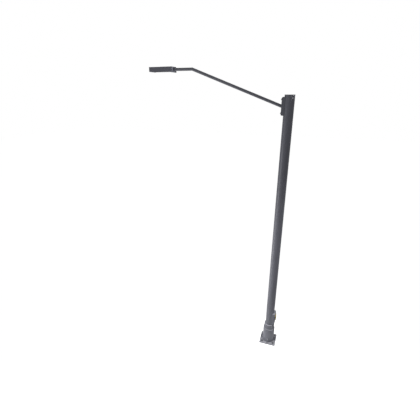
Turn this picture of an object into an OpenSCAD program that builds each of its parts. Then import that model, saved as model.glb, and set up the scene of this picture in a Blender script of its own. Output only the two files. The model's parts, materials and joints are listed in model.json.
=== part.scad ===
// Street lamp post: a round steel pole on a stepped, gusseted base, with a side hand hole,
// a single bent arm and a flat LED luminaire.
// The origin is the centre of the base plate's underside. +Z is up, the arm points along -X
// and the hand hole faces +X.

/* [Pole] */
// Outer diameter of the pole
pole_d = 200; // [170:1:240]
// Wall thickness of the pole
pole_wall = 5; // [4:0.5:8]
// Length of the pole tube above the base plate
pole_h = 6090; // [4500:10:7400]
// Thickness of the cap on top of the pole
cap_t = 6; // [4:1:12]
// How far the cap stands out past the pole
cap_lip = 3; // [1:0.5:6]

/* [Base] */
// Thickness of the base plate
plate_t = 28; // [16:1:40]
// Flat margin of the plate outside the base sleeve
plate_margin = 58.5; // [52:0.5:80]
// Distance from the plate's edge to the anchor holes
bolt_inset = 61.5; // [45:0.5:65]
// Diameter of the anchor holes
anchor_hole_d = 30; // [28:1:33]
// Diameter of the cable entry in the base plate
cable_entry_d = 110; // [60:1:140]
// Step from the pole out to the collar
collar_step = 25; // [20:0.5:32]
// Height of the collar
collar_h = 128; // [90:1:160]
// Step from the collar out to the sleeve
sleeve_step = 19.5; // [15:0.5:26]
// Height of the sleeve above the base plate
sleeve_h = 390; // [300:1:470]
// Wall thickness of the sleeve and the collar
shoe_wall = 8; // [6:0.5:12]
// Height of the gussets
gusset_h = 110; // [80:1:180]
// How far the gussets stand out from the sleeve
gusset_reach = 44.5; // [30:0.5:50]
// Thickness of the gussets
gusset_t = 16; // [10:1:20]
// Drop of the gussets' top edge from the sleeve outwards
gusset_fall = 10; // [4:1:20]

/* [Hand hole] */
// Height of the hand-hole frame's lower edge above the collar
frame_gap = 29; // [20:1:80]
// Height of the hand-hole frame
frame_h = 331; // [290:1:420]
// How far in from the pole's sides the frame's sides lie
frame_inset = 14; // [10:1:30]
// How far the frame stands out past the pole
frame_proud = 20; // [14:1:40]
// Wall thickness of the frame
frame_wall = 8; // [5:0.5:10]
// Thickness of the gasket on the frame
gasket_t = 1.7; // [1:0.1:4]
// Overall thickness of the door leaf
leaf_t = 10; // [8:0.5:16]
// Sheet thickness of the door leaf
leaf_sheet = 3; // [2:0.5:5]
// Height of the lock housing
lock_h = 165; // [140:1:200]
// Width of the lock housing
lock_w = 72; // [60:1:90]
// How far the lock housing stands out at its top edge
lock_top_out = 14; // [12:1:20]
// How far the lock housing stands out at its bottom edge
lock_bottom_out = 24; // [18:1:36]

/* [Arm] */
// Outer diameter of the arm tube
arm_d = 60.3; // [48:0.1:76]
// Wall thickness of the arm tube
arm_wall = 3.6; // [2.5:0.1:5]
// Distance from the top of the pole down to the arm's root
arm_below_top = 217; // [190:1:400]
// Horizontal run of the arm's sloping stretch
arm_run = 1896; // [1200:1:2400]
// Rise of the arm's sloping stretch
arm_rise = 708; // [300:1:900]
// Length of the arm's level stretch outside the luminaire
arm_level = 422.5; // [300:0.5:700]
// Width of the arm bracket
bracket_w = 140; // [120:1:150]
// Height of the arm bracket
bracket_h = 350; // [300:1:376]
// Thickness of the saddle past the pole
saddle_t = 26; // [18:1:40]
// Thickness of the arm flange
flange_t = 18; // [12:1:30]

/* [Luminaire] */
// Length of the luminaire
lum_l = 529.5; // [500:0.5:640]
// Width of the luminaire
lum_w = 242; // [236:1:300]
// Height of the luminaire's side walls
lum_h = 94; // [90:1:110]
// Wall thickness of the luminaire's body
lum_wall = 4; // [3:0.5:5]
// How far the rear end casting reaches below the side walls
end_drop = 17; // [10:1:24]
// How far the far end casting reaches below the side walls
far_drop = 4; // [0:1:16]
// How far the driver bay's roof stands above the fins and the far end casting
roof_step = 2; // [1:1:8]
// Length of the far end casting
end_cap_l = 32; // [20:1:50]
// Thickness of the rear end casting
rear_plate_t = 12; // [8:1:16]
// Length of the driver bay and slipfitter bay together
rear_bay_l = 248; // [240:1:280]
// Height of the cooling fins
fin_h = 20; // [10:1:24]

/* [Fits] */
// Radial clearance of hinge pins and spindles
run_fit = 0.05; // [0.02:0.01:0.1]
// Radial clearance of fasteners and seated round pieces
seat_fit = 0.02; // [0.01:0.01:0.1]
// Gap between flat faces of pieces that move apart
face_gap = 0.3; // [0.2:0.1:0.6]

/* [Hidden] */
$fn = 48;
eps = 1;

// Pole and base
pole_r = pole_d / 2;
pole_ri = pole_r - pole_wall;
pole_top = plate_t + pole_h;
collar_r = pole_r + collar_step;
sleeve_r = collar_r + sleeve_step;
plate_w = 2 * (sleeve_r + plate_margin);
bolt_xy = plate_w / 2 - bolt_inset;
sleeve_top = plate_t + sleeve_h;
collar_top = sleeve_top + collar_h;
shoe_ring_t = 10;
cap_spigot_h = 30;
cap_spigot_wall = 4;
cap_screw_r = 3;
cap_screw_z = pole_top - 15;

// Anchor fasteners, for M24 studs
stud_r = 12;
washer_r = 28;
washer_t = 5;
nut_flats = 36;
nut_hex_h = 22;
nut_dome_r = 17;
nut_bore_depth = 29;

// Hand hole
frame_w = pole_d - 2 * frame_inset;
frame_z0 = collar_top + frame_gap;
frame_z1 = frame_z0 + frame_h;
frame_zm = (frame_z0 + frame_z1) / 2;
frame_x = pole_r + frame_proud;
frame_in_w = frame_w - 2 * frame_wall;
frame_in_h = frame_h - 2 * frame_wall;
hole_w = frame_in_w - 36;
hole_h = frame_in_h - 45;
hole_corner = 30;
leaf_x = frame_x + gasket_t + face_gap;
leaf_front = leaf_x + leaf_t;
hinge_r = 7;
hinge_pin_r = 3.5;
hinge_x = leaf_x + leaf_t / 2;
hinge_y = frame_w / 2 + hinge_r + 1;
hinge_len = 50;
hinge_inset = 25;
hinge_gap = 0.5;

// Lock
lock_z1 = frame_z1 - 36;
lock_z0 = lock_z1 - lock_h;
lock_z = lock_z1 - 83;
spindle_r = 6;
spindle_head_r = 10;
lock_recess_r = 13;
cam_t = 5;
cam_x = frame_x - 24;
keeper_w = 14;
keeper_t = 6;
keeper_h = 60;
keeper_y = -frame_in_w / 2;
cam_l = min(frame_in_w / 2 - keeper_w + 6, frame_zm + hole_h / 2 - lock_z - 4);
marker_t = 1.5;
marker_z0 = lock_z0 + 32;
marker_z1 = lock_z1 - 6;

// Equipment inside the pole
rail_x = -pole_ri + 15;
rail_t = 5;
rail_w = 40;
rail_l = 280;
rail_z0 = frame_z0 + 25;
box_w = 90;
box_h = 180;
box_z0 = frame_z0 + 65;
box_base_d = 40;
box_cover_d = 20;
box_wall = 3;
box_screw_y = 33;
box_x = rail_x + rail_t;
gland_x = box_x + 23;
gland_r = 11;
gland_l = 25;
cable_r = 6;

// Arm
arm_r = arm_d / 2;
arm_ri = arm_r - arm_wall;
arm_root_z = pole_top + cap_t - arm_below_top;
saddle_x = pole_r + saddle_t;
flange_x = saddle_x + flange_t;
bend_x = flange_x + arm_run;
bend_z = arm_root_z + arm_rise;
arm_angle = atan(arm_rise / arm_run);
flange_chamfer = 18;
arm_bolt_r = 8;
arm_bolt_y = bracket_w / 2 - 25;
arm_bolt_z = bracket_h / 2 - 45;
wire_hole_r = 22;
wire_z = arm_root_z - 14;

// Luminaire, measured from its rear face out along -X
lum_x = bend_x + arm_level;
lum_far = lum_x + lum_l;
lum_z1 = bend_z + 54;
lum_z0 = lum_z1 - lum_h;
tube_in = 129.5;
tilt_x = lum_x + 57.5;
body_x0 = lum_x + rear_plate_t;
body_x1 = lum_far - end_cap_l;
bay_x1 = body_x0 + rear_bay_l;
optic_x0 = bay_x1 + lum_wall;
optic_x1 = body_x1 - lum_wall;
web_z = lum_z1 - fin_h - 5;
fin_x0 = bay_x1 + 4;
fin_t = 4;
fin_count = 12;
rear_hole_r = 37;
saddle_len = 30;
crest_r = arm_r + face_gap;
strap_ro = arm_r + 6.35;
strap_ear_t = 6;
strap_bolt_y = 44;
strap_bolt_r = 4;
strap_z = bend_z - 9;
lens_rim = 21;
lens_frame_t = 8;
lens_gasket_t = 2;
glass_t = 5;
post_w = 14;
led_rows = 4;
led_cols = 6;
led_pitch_x = 29;
led_pitch_y = 40;
door_t = 3;
door_pin_r = 2.5;
door_knuckle_r = 4.5;
door_axis_x = bay_x1 - 10.5;
door_axis_z = lum_z0 + 8;
door_side_gap = 0.5;
latch_x = body_x0 + 17.5;
latch_y = 80;
latch_r = 5;
latch_arm = 16;

// ---- Shared shapes -------------------------------------------------------------------

// A box given by its lowest and highest corners
module block(low, high) {
    translate(low) cube(high - low);
}

// A cylinder along X from x0 to x1 at height z and side y
module rod_x(r, x0, x1, y, z) {
    translate([x0, y, z]) rotate([0, 90, 0]) cylinder(r = r, h = x1 - x0);
}

// A cylinder along Y from y0 to y1
module rod_y(r, x, y0, y1, z) {
    translate([x, y1, z]) rotate([90, 0, 0]) cylinder(r = r, h = y1 - y0);
}

// A cylinder along Z from z0 to z1
module rod_z(r, x, y, z0, z1) {
    translate([x, y, z0]) cylinder(r = r, h = z1 - z0);
}

// A hexagonal prism along Z, given by its width across flats
module hex_z(flats, x, y, z0, z1) {
    translate([x, y, z0]) cylinder(r = flats / 2 / cos(30), h = z1 - z0, $fn = 6);
}

// A hexagonal prism along X
module hex_x(flats, x0, x1, y, z) {
    translate([x0, y, z])
        rotate([0, 90, 0])
            cylinder(r = flats / 2 / cos(30), h = x1 - x0, $fn = 6);
}

// A flat rectangle with round corners
module round_rect(w, h, r) {
    square([w - 2 * r, h], center = true);
    square([w, h - 2 * r], center = true);
    for (x = [-1, 1], y = [-1, 1])
        translate([x * (w / 2 - r), y * (h / 2 - r)]) circle(r = r);
}

// A plate across X with round corners: w along Y, h along Z
module plate_x(w, h, r, x0, x1, z) {
    translate([x0, 0, z])
        rotate([90, 0, 90])
            linear_extrude(x1 - x0) round_rect(w, h, r);
}

// An outline in X and Z, drawn out along Y from -w/2 to w/2
module slab_y(w, outline) {
    translate([0, w / 2, 0]) rotate([90, 0, 0]) linear_extrude(w) polygon(outline);
}

// The four corners of a square pattern of half-width h
module at_corners(h) {
    for (x = [-1, 1], y = [-1, 1]) translate([x * h, y * h, 0]) children();
}

// ---- Base and pole -------------------------------------------------------------------

module base_plate() {
    color("lightslategray") difference() {
        block([-plate_w / 2, -plate_w / 2, 0], [plate_w / 2, plate_w / 2, plate_t]);
        at_corners(bolt_xy) rod_z(anchor_hole_d / 2, 0, 0, -eps, plate_t + eps);
        rod_z(cable_entry_d / 2, 0, 0, -eps, plate_t + eps);
    }
}

// One upright gusset on the +X side
module gusset() {
    slab_y(gusset_t, [
        [sleeve_r, plate_t],
        [sleeve_r + gusset_reach, plate_t],
        [sleeve_r + gusset_reach, plate_t + gusset_h - gusset_fall],
        [sleeve_r, plate_t + gusset_h]
    ]);
}

module base_gussets() {
    color("slategray") difference() {
        for (a = [0:90:270]) rotate(a) translate([-2, 0, 0]) gusset();
        rod_z(sleeve_r, 0, 0, 0, sleeve_top);
    }
}

// A stepped ring: a thin wall of outer radius r that closes onto the pole at its top
module shoe_ring(r, z0, z1) {
    rotate_extrude() polygon([
        [r - shoe_wall, z0], [r, z0], [r, z1], [pole_r + seat_fit, z1],
        [pole_r + seat_fit, z1 - shoe_ring_t], [r - shoe_wall, z1 - shoe_ring_t]
    ]);
}

module base_sleeve() {
    color("slategray") shoe_ring(sleeve_r, plate_t, sleeve_top);
}

module base_collar() {
    color("slategray") shoe_ring(collar_r, sleeve_top, collar_top);
}

module anchor_washers() {
    color("rosybrown") at_corners(bolt_xy) difference() {
        rod_z(washer_r, 0, 0, plate_t, plate_t + washer_t);
        rod_z(stud_r + 0.5, 0, 0, plate_t - eps, plate_t + washer_t + eps);
    }
}

// Domed cap nuts, open from below for the foundation's studs
module anchor_nuts() {
    z0 = plate_t + washer_t;
    color("rosybrown") at_corners(bolt_xy) difference() {
        union() {
            hex_z(nut_flats, 0, 0, z0, z0 + nut_hex_h);
            intersection() {
                translate([0, 0, z0 + nut_hex_h]) sphere(r = nut_dome_r);
                rod_z(nut_dome_r + eps, 0, 0, z0 + nut_hex_h - eps, z0 + nut_hex_h + nut_dome_r + eps);
            }
        }
        rod_z(stud_r, 0, 0, z0 - eps, z0 + nut_bore_depth);
    }
}

module pole_tube() {
    color("lightslategray") difference() {
        rod_z(pole_r, 0, 0, plate_t, pole_top);
        rod_z(pole_ri, 0, 0, plate_t - eps, pole_top + eps);
        plate_x(hole_w, hole_h, hole_corner, 0, pole_r + eps, frame_zm);
        rod_x(wire_hole_r, -pole_r - eps, 0, 0, wire_z);
        for (a = [60, 180, 300]) rotate(a) rod_x(cap_screw_r + seat_fit, 0, pole_r + eps, 0, cap_screw_z);
    }
}

module pole_cap() {
    spigot_r = pole_ri - seat_fit;
    color("slategray") difference() {
        union() {
            rod_z(pole_r + cap_lip, 0, 0, pole_top, pole_top + cap_t);
            rod_z(spigot_r, 0, 0, pole_top - cap_spigot_h, pole_top + eps);
        }
        rod_z(spigot_r - cap_spigot_wall, 0, 0, pole_top - cap_spigot_h - eps, pole_top);
        for (a = [60, 180, 300]) rotate(a) rod_x(cap_screw_r + seat_fit, 0, pole_r, 0, cap_screw_z);
    }
}

module pole_cap_screws() {
    color("darkgray") for (a = [60, 180, 300]) rotate(a) {
        rod_x(cap_screw_r, spigot_in() + 1, pole_r + 2, 0, cap_screw_z);
        rod_x(cap_screw_r + 2, pole_r + 0.4, pole_r + 2.6, 0, cap_screw_z);
    }
}

function spigot_in() = pole_ri - seat_fit - cap_spigot_wall;

// ---- Hand hole -----------------------------------------------------------------------

// Knuckles along the door's hinge line, in stretches of hinge_len from z0 upwards
module knuckle(z0) {
    rod_z(hinge_r, hinge_x, hinge_y, z0, z0 + hinge_len);
}

function lower_hinge() = frame_z0 + hinge_inset;
function upper_hinge() = frame_z1 - hinge_inset - hinge_len;
function lower_leaf_hinge() = lower_hinge() + hinge_len + hinge_gap;
function upper_leaf_hinge() = upper_hinge() - hinge_len - hinge_gap;

module handhole_frame() {
    color("lightslategray") difference() {
        union() {
            plate_x(frame_w, frame_h, 4, 0, frame_x, frame_zm);
            for (z = [lower_hinge(), upper_hinge()]) {
                knuckle(z);
                block([frame_x - 30, frame_w / 2 - 1, z], [frame_x, frame_w / 2 + 4, z + hinge_len]);
                block([frame_x - 1, frame_w / 2 + hinge_gap, z], [hinge_x, frame_w / 2 + 4, z + hinge_len]);
            }
        }
        difference() {
            plate_x(frame_in_w, frame_in_h, 3, -eps, frame_x + eps, frame_zm);
            block([cam_x + cam_t + 3, keeper_y - eps, lock_z - keeper_h / 2],
                  [cam_x + cam_t + 3 + keeper_t, keeper_y + keeper_w, lock_z + keeper_h / 2]);
        }
        rod_z(pole_r, 0, 0, frame_z0 - eps, frame_z1 + eps);
        for (z = [lower_hinge(), upper_hinge()])
            rod_z(hinge_pin_r + seat_fit, hinge_x, hinge_y, z - eps, z + hinge_len + eps);
    }
}

module handhole_gasket() {
    color("dimgray") difference() {
        plate_x(frame_w - 3, frame_h - 3, 4, frame_x, frame_x + gasket_t, frame_zm);
        plate_x(frame_in_w + 2, frame_in_h + 2, 3, frame_x - eps, frame_x + gasket_t + eps, frame_zm);
    }
}

// Two pins with small heads, one in each pair of knuckles
module handhole_hinge_pins() {
    color("darkgray") {
        rod_z(hinge_pin_r, hinge_x, hinge_y, lower_hinge(), lower_leaf_hinge() + hinge_len - 2);
        rod_z(hinge_pin_r + 2, hinge_x, hinge_y, lower_hinge() - 3, lower_hinge());
        rod_z(hinge_pin_r, hinge_x, hinge_y, upper_leaf_hinge() + 2, upper_hinge() + hinge_len);
        rod_z(hinge_pin_r + 2, hinge_x, hinge_y, upper_hinge() + hinge_len, upper_hinge() + hinge_len + 3);
    }
}

// Earth bolt and its lug on the frame's lower wall
module earth_bolt() {
    z = frame_z0 + frame_wall;
    color("goldenrod") {
        rod_z(12, pole_r + 5, 50, z, z + 6);
        hex_z(13, pole_r + 5, 50, z + 6, z + 12);
        rod_z(4, pole_r + 5, 50, z + 5, z + 22);
    }
}

module handhole_door() {
    color("darkslategray") difference() {
        union() {
            difference() {
                plate_x(frame_w, frame_h, 6, leaf_x, leaf_front, frame_zm);
                plate_x(frame_w - 2 * leaf_sheet, frame_h - 2 * leaf_sheet, 4, leaf_x - eps,
                        leaf_front - leaf_sheet, frame_zm);
            }
            for (z = [lower_leaf_hinge(), upper_leaf_hinge()]) {
                knuckle(z);
                block([hinge_x - 2, frame_w / 2 - leaf_sheet, z], [hinge_x + 2, hinge_y, z + hinge_len]);
            }
        }
        for (z = [lower_leaf_hinge(), upper_leaf_hinge()])
            rod_z(hinge_pin_r + run_fit, hinge_x, hinge_y, z - eps, z + hinge_len + eps);
        rod_x(spindle_r + run_fit, leaf_x, leaf_front + eps, 0, lock_z);
    }
}

// The lock housing's side outline, grown by g on its three open sides, between two heights
function lock_out(z) = leaf_front + lock_bottom_out
    - (lock_bottom_out - lock_top_out) * (z - lock_z0) / lock_h;
function lock_outline(z0, z1, g) = [
    [leaf_front, z0], [lock_out(z0) + g, z0], [lock_out(z1) + g, z1], [leaf_front, z1]
];

module lock_housing() {
    color("slategray") difference() {
        slab_y(lock_w, lock_outline(lock_z0, lock_z1, 0));
        rod_x(spindle_r + run_fit, leaf_front - eps, leaf_front + 30, 0, lock_z);
        rod_x(lock_recess_r, leaf_front + 6, leaf_front + 40, 0, lock_z);
    }
}

// Plain reflective sleeve round the front and the sides of the lock housing
module marker_sleeve() {
    color("gold") difference() {
        slab_y(lock_w + 2 * marker_t, lock_outline(marker_z0, marker_z1, marker_t));
        slab_y(lock_w, lock_outline(lock_z0, lock_z1, 0));
        rod_x(lock_recess_r + 3, leaf_front, leaf_front + 40, 0, lock_z);
    }
}

module lock_spindle() {
    color("silver") {
        rod_x(spindle_r, cam_x - 8, leaf_front + 8, 0, lock_z);
        rod_x(spindle_head_r, leaf_front + 6 + face_gap, leaf_front + 10, 0, lock_z);
        translate([leaf_front + 10, 0, lock_z]) rotate([0, 90, 0]) cylinder(r = 7, h = 5, $fn = 3);
    }
}

// The cam points up at rest, clear of the keeper
module lock_cam() {
    color("silver") difference() {
        union() {
            rod_x(spindle_r + 5, cam_x, cam_x + cam_t, 0, lock_z);
            block([cam_x, -8, lock_z], [cam_x + cam_t, 8, lock_z + cam_l]);
        }
        rod_x(spindle_r + seat_fit, cam_x - eps, cam_x + cam_t + eps, 0, lock_z);
    }
}

module lock_nut() {
    color("silver") difference() {
        hex_x(19, cam_x - 6, cam_x, 0, lock_z);
        rod_x(spindle_r + seat_fit, cam_x - 7, cam_x + eps, 0, lock_z);
    }
}

// ---- Equipment inside the pole -------------------------------------------------------

// A flat bar on two round pads that stand off the pole's inner wall
module equipment_rail() {
    pad_r = 10;
    pad_x = -sqrt(pole_ri * pole_ri - pad_r * pad_r) + seat_fit;
    color("silver") {
        block([rail_x, -rail_w / 2, rail_z0], [rail_x + rail_t, rail_w / 2, rail_z0 + rail_l]);
        for (z = [rail_z0 + 25, rail_z0 + rail_l - 25]) rod_x(pad_r, pad_x, rail_x + eps, 0, z);
    }
}

module fuse_box_base() {
    x1 = box_x + box_base_d;
    color("gray") difference() {
        block([box_x, -box_w / 2, box_z0], [x1, box_w / 2, box_z0 + box_h]);
        block([box_x + box_wall, -box_w / 2 + box_wall, box_z0 + box_wall],
              [x1 + eps, box_w / 2 - box_wall, box_z0 + box_h - box_wall]);
        rod_z(gland_r - 3 + seat_fit, gland_x, 0, box_z0 + box_h - box_wall - eps, box_z0 + box_h + eps);
        for (y = [-20, 20]) rod_z(gland_r - 3 + seat_fit, gland_x, y, box_z0 - eps, box_z0 + box_wall + eps);
    }
}

module fuse_box_cover() {
    x0 = box_x + box_base_d;
    color("lightgray") difference() {
        block([x0, -box_w / 2, box_z0], [x0 + box_cover_d, box_w / 2, box_z0 + box_h]);
        block([x0 - eps, -box_w / 2 + box_wall, box_z0 + box_wall],
              [x0 + box_cover_d - box_wall, box_w / 2 - box_wall, box_z0 + box_h - box_wall]);
        for (y = [-box_screw_y, box_screw_y], z = [box_z0 + 12, box_z0 + box_h - 12])
            rod_x(2.5, x0 + box_cover_d - box_wall - eps, x0 + box_cover_d + eps, y, z);
    }
}

// Long captive screws from the cover to the back of the box
module fuse_box_screws() {
    x1 = box_x + box_base_d + box_cover_d;
    color("silver") for (y = [-box_screw_y, box_screw_y], z = [box_z0 + 12, box_z0 + box_h - 12]) {
        rod_x(2.4, box_x + box_wall, x1 + 1, y, z);
        rod_x(4.5, x1, x1 + 3, y, z);
    }
}

module fuse_holders() {
    x0 = box_x + box_wall;
    color("dimgray") for (y = [-22, 22])
        block([x0, y - 9, box_z0 + 80], [x0 + 34, y + 9, box_z0 + 150]);
}

module pole_terminal_block() {
    x0 = box_x + box_wall;
    color("whitesmoke") difference() {
        block([x0, -32, box_z0 + 32], [x0 + 22, 32, box_z0 + 56]);
        for (y = [-24:12:24]) rod_x(3, x0 + 12, x0 + 23, y, box_z0 + 44);
    }
}

// One gland on the box's top, which the riser cable passes through, and two blanked ones below
module cable_glands() {
    top = box_z0 + box_h;
    color("black") {
        difference() {
            union() {
                rod_z(gland_r - 3, gland_x, 0, top - 6, top + gland_l);
                hex_z(2 * gland_r, gland_x, 0, top, top + 8);
                rod_z(gland_r - 1, gland_x, 0, top + 8, top + 20);
            }
            rod_z(cable_r + seat_fit, gland_x, 0, top - 7, top + gland_l + eps);
        }
        for (y = [-20, 20]) {
            rod_z(gland_r - 3, gland_x, y, box_z0 - gland_l, box_z0 + 6);
            hex_z(2 * gland_r, gland_x, y, box_z0 - 8, box_z0);
            rod_z(gland_r - 1, gland_x, y, box_z0 - 20, box_z0 - 8);
        }
    }
}

// A point on the arm's sloping axis, x millimetres out from the pole's axis
function arm_z(x) = arm_root_z + (x - flange_x) * tan(arm_angle);

// The riser cable's line in X and Z, from the fuse box to the splice at the luminaire
riser_route = [
    [gland_x, box_z0 + box_h - 10],
    [gland_x, wire_z - 110],
    [gland_x - 12, wire_z - 45],
    [-pole_ri + 22, wire_z - 6],
    [-pole_ri, wire_z],
    [-saddle_x, wire_z],
    [-flange_x - 40, arm_z(flange_x + 40)],
    [-bend_x, bend_z],
    [-tilt_x + 30, bend_z]
];

// A round rod from point a to point b in the X-Z plane, with a fuller ball on its start
module rod_between(a, b, r) {
    d = b - a;
    translate([a[0], 0, a[1]]) {
        rotate([0, atan2(d[0], d[1]), 0]) cylinder(r = r, h = norm(d));
        sphere(r = r + 1.5);
    }
}

module riser_cable() {
    color("black") for (i = [0:len(riser_route) - 2])
        rod_between(riser_route[i], riser_route[i + 1], cable_r);
}

// Insulated splice on the cable's end, just short of the tilt axis
module cable_splice() {
    color("royalblue") difference() {
        rod_x(cable_r + 4, -tilt_x + face_gap, -tilt_x + 50, 0, bend_z);
        rod_x(cable_r + seat_fit, -tilt_x + 30, -tilt_x + 51, 0, bend_z);
    }
}

// ---- Arm -----------------------------------------------------------------------------

module arm_saddle() {
    color("slategray") difference() {
        block([-saddle_x, -bracket_w / 2, arm_root_z - bracket_h / 2],
              [0, bracket_w / 2, arm_root_z + bracket_h / 2]);
        rod_z(pole_r, 0, 0, arm_root_z - bracket_h, arm_root_z + bracket_h);
        rod_x(wire_hole_r, -saddle_x - eps, 0, 0, wire_z);
        arm_bolt_places() rod_x(arm_bolt_r + seat_fit, -saddle_x - eps, -saddle_x + 24, 0, 0);
    }
}

module arm_bolt_places() {
    for (y = [-1, 1], z = [-1, 1])
        translate([0, y * arm_bolt_y, arm_root_z + z * arm_bolt_z]) children();
}

module arm_flange() {
    z0 = arm_root_z - bracket_h / 2;
    z1 = arm_root_z + bracket_h / 2;
    c = flange_chamfer;
    color("slategray") difference() {
        slab_y(bracket_w, [
            [-saddle_x, z0], [-saddle_x, z1], [-flange_x + c - 2, z1], [-flange_x, z1 - c],
            [-flange_x, z0 + c], [-flange_x + c - 2, z0]
        ]);
        rod_x(arm_ri - 2, -flange_x - eps, -saddle_x + eps, 0, arm_root_z);
        arm_bolt_places() rod_x(arm_bolt_r + 0.5, -flange_x - eps, -saddle_x + eps, 0, 0);
    }
}

module arm_washers() {
    color("darkgray") arm_bolt_places() difference() {
        rod_x(arm_bolt_r + 7, -flange_x - 3, -flange_x, 0, 0);
        rod_x(arm_bolt_r + 0.5, -flange_x - 4, -flange_x + eps, 0, 0);
    }
}

module arm_bolts() {
    color("darkgray") arm_bolt_places() {
        rod_x(arm_bolt_r, -flange_x - 4, -saddle_x + 22, 0, 0);
        hex_x(24, -flange_x - 13, -flange_x - 3, 0, 0);
    }
}

// Rubber bush that lines the wire hole through the pole's wall and the saddle
module arm_grommet() {
    color("black") difference() {
        rod_x(wire_hole_r - seat_fit, -saddle_x, -pole_ri + 2, 0, wire_z);
        rod_x(cable_r + 5, -saddle_x - eps, -pole_ri + 3, 0, wire_z);
    }
}

// The arm's line as a solid rod of radius r: a sloping and a level stretch, mitred at the bend
module arm_rod(r, spare) {
    slope_l = norm([arm_run, arm_rise]) + 60;
    cut = arm_d * 2;
    translate([-bend_x, 0, bend_z]) {
        difference() {
            rotate([0, 90 + arm_angle, 0]) translate([0, 0, -cut / 2]) cylinder(r = r, h = slope_l + cut / 2);
            rotate([0, arm_angle / 2, 0]) translate([-2 * cut, -cut, -cut]) cube([2 * cut, 2 * cut, 2 * cut]);
        }
        difference() {
            rod_x(r, bend_x - lum_x - tube_in - spare, cut / 2, 0, 0);
            rotate([0, arm_angle / 2, 0]) translate([0, -cut, -cut]) cube([2 * cut, 2 * cut, 2 * cut]);
        }
    }
}

module arm_tube() {
    color("lightslategray") difference() {
        arm_rod(arm_r, 0);
        arm_rod(arm_ri, eps);
        block([-flange_x, -bracket_w, arm_root_z - bracket_h],
              [0, bracket_w, arm_root_z + bracket_h]);
    }
}

// ---- Luminaire -----------------------------------------------------------------------

// The body's outline across X: a box with round upper edges
module body_profile(h, r) {
    w = lum_w;
    translate([-w / 2, 0]) square([w, h - r]);
    translate([-w / 2 + r, 0]) square([w - 2 * r, h]);
    for (y = [-1, 1]) translate([y * (w / 2 - r), h - r]) circle(r = r);
}

// A slice of the body's outline between two distances out from the pole's axis, which reaches
// drop below the side walls and stays low under the roof
module body_slice(x0, x1, drop, low) {
    translate([-x1, 0, lum_z0 - drop])
        rotate([90, 0, 90])
            linear_extrude(x1 - x0) body_profile(lum_h + drop - low, 10);
}

// A cavity inside the body's side walls
module bay(x0, x1, z0, z1) {
    y = lum_w / 2 - lum_wall;
    block([-x1, -y, z0], [-x0, y, z1]);
}

module luminaire_body() {
    in_w = lum_w - 2 * lum_wall;
    slot_w = (in_w - 20 - fin_count * fin_t) / (fin_count + 1);
    color("slategray") {
        difference() {
            union() {
                body_slice(body_x0, fin_x0, 0, 0);
                body_slice(fin_x0 - eps, body_x1, 0, roof_step);
            }
            bay(body_x0 - eps, bay_x1, lum_z0 - eps, lum_z1 - lum_wall);
            bay(optic_x0, optic_x1, lum_z0 - eps, web_z);
            for (i = [0:fin_count]) {
                y0 = -in_w / 2 + 10 + i * (slot_w + fin_t);
                block([-body_x1 - eps, y0, lum_z1 - fin_h], [-fin_x0, y0 + slot_w, lum_z1 + eps]);
            }
        }
        for (y = [-90, 74]) block([-driver_x1(), y, web_z], [-driver_x0(), y + 16, lum_z1 - lum_wall + eps]);
        difference() {
            for (x = [optic_x0 + post_w / 2, optic_x1 - post_w / 2], y = [-1, 1])
                post(x, y * (lum_w / 2 - lum_wall - post_w / 2));
            lens_screw_places() rod_z(2 + seat_fit, 0, 0, lum_z0, lum_z0 + lens_frame_t + 16);
        }
        difference() {
            for (y = [-85, 70]) door_ear(y, y + 15);
            rod_y(door_pin_r + seat_fit, -door_axis_x, -lum_w / 2, lum_w / 2, door_axis_z);
        }
    }
}

// A screw post in a corner of the optical bay
module post(x, y) {
    block([-x - post_w / 2, y - post_w / 2, lum_z0 + lens_frame_t],
          [-x + post_w / 2, y + post_w / 2, web_z + 1]);
}

module lens_screw_places() {
    for (x = [optic_x0 + post_w / 2, optic_x1 - post_w / 2], y = [-1, 1])
        translate([-x, y * (lum_w / 2 - lum_wall - post_w / 2), 0]) children();
}

// A hinge ear on the wall between the driver bay and the optical bay
module door_ear(y0, y1) {
    rod_y(door_knuckle_r, -door_axis_x, y0, y1, door_axis_z);
    block([-bay_x1 - 1, y0, door_axis_z + 0.5], [-door_axis_x, y1, door_axis_z + door_knuckle_r]);
}

module luminaire_end_cap() {
    color("dimgray") difference() {
        body_slice(body_x1, lum_far, far_drop, roof_step);
        block([-lum_far + lum_wall, -lum_w / 2 + lum_wall + 6, lum_z0 - far_drop + lum_wall],
              [-body_x1 + eps, lum_w / 2 - lum_wall - 6, lum_z1 - roof_step - lum_wall - 6]);
        end_screw_places() rod_x(2.5 + seat_fit, -lum_far - eps, -body_x1 + eps, 0, 0);
    }
}

module end_screw_places() {
    for (y = [-1, 1], z = [lum_z0 + 12, lum_z1 - roof_step - 12])
        translate([0, y * (lum_w / 2 - 5), z]) children();
}

module luminaire_rear_plate() {
    color("slategray") {
        difference() {
            body_slice(lum_x, body_x0, end_drop, 0);
            rod_x(rear_hole_r, -body_x0 - eps, -lum_x + eps, 0, bend_z);
            end_screw_places() rod_x(2.5 + seat_fit, -body_x0 - eps, -lum_x + eps, 0, 0);
        }
        block([-body_x0 - 9, latch_y - 12, lum_z0 + 9], [-body_x0 + 1, latch_y + 12, lum_z0 + 13]);
    }
}

module end_screws() {
    color("silver") end_screw_places() {
        rod_x(5, -lum_far - 3, -lum_far, 0, 0);
        rod_x(2.5, -lum_far - 1, -body_x1 - 2, 0, 0);
        rod_x(5, -lum_x, -lum_x + 3, 0, 0);
        rod_x(2.5, -body_x0 + 2, -lum_x + 1, 0, 0);
    }
}

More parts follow.
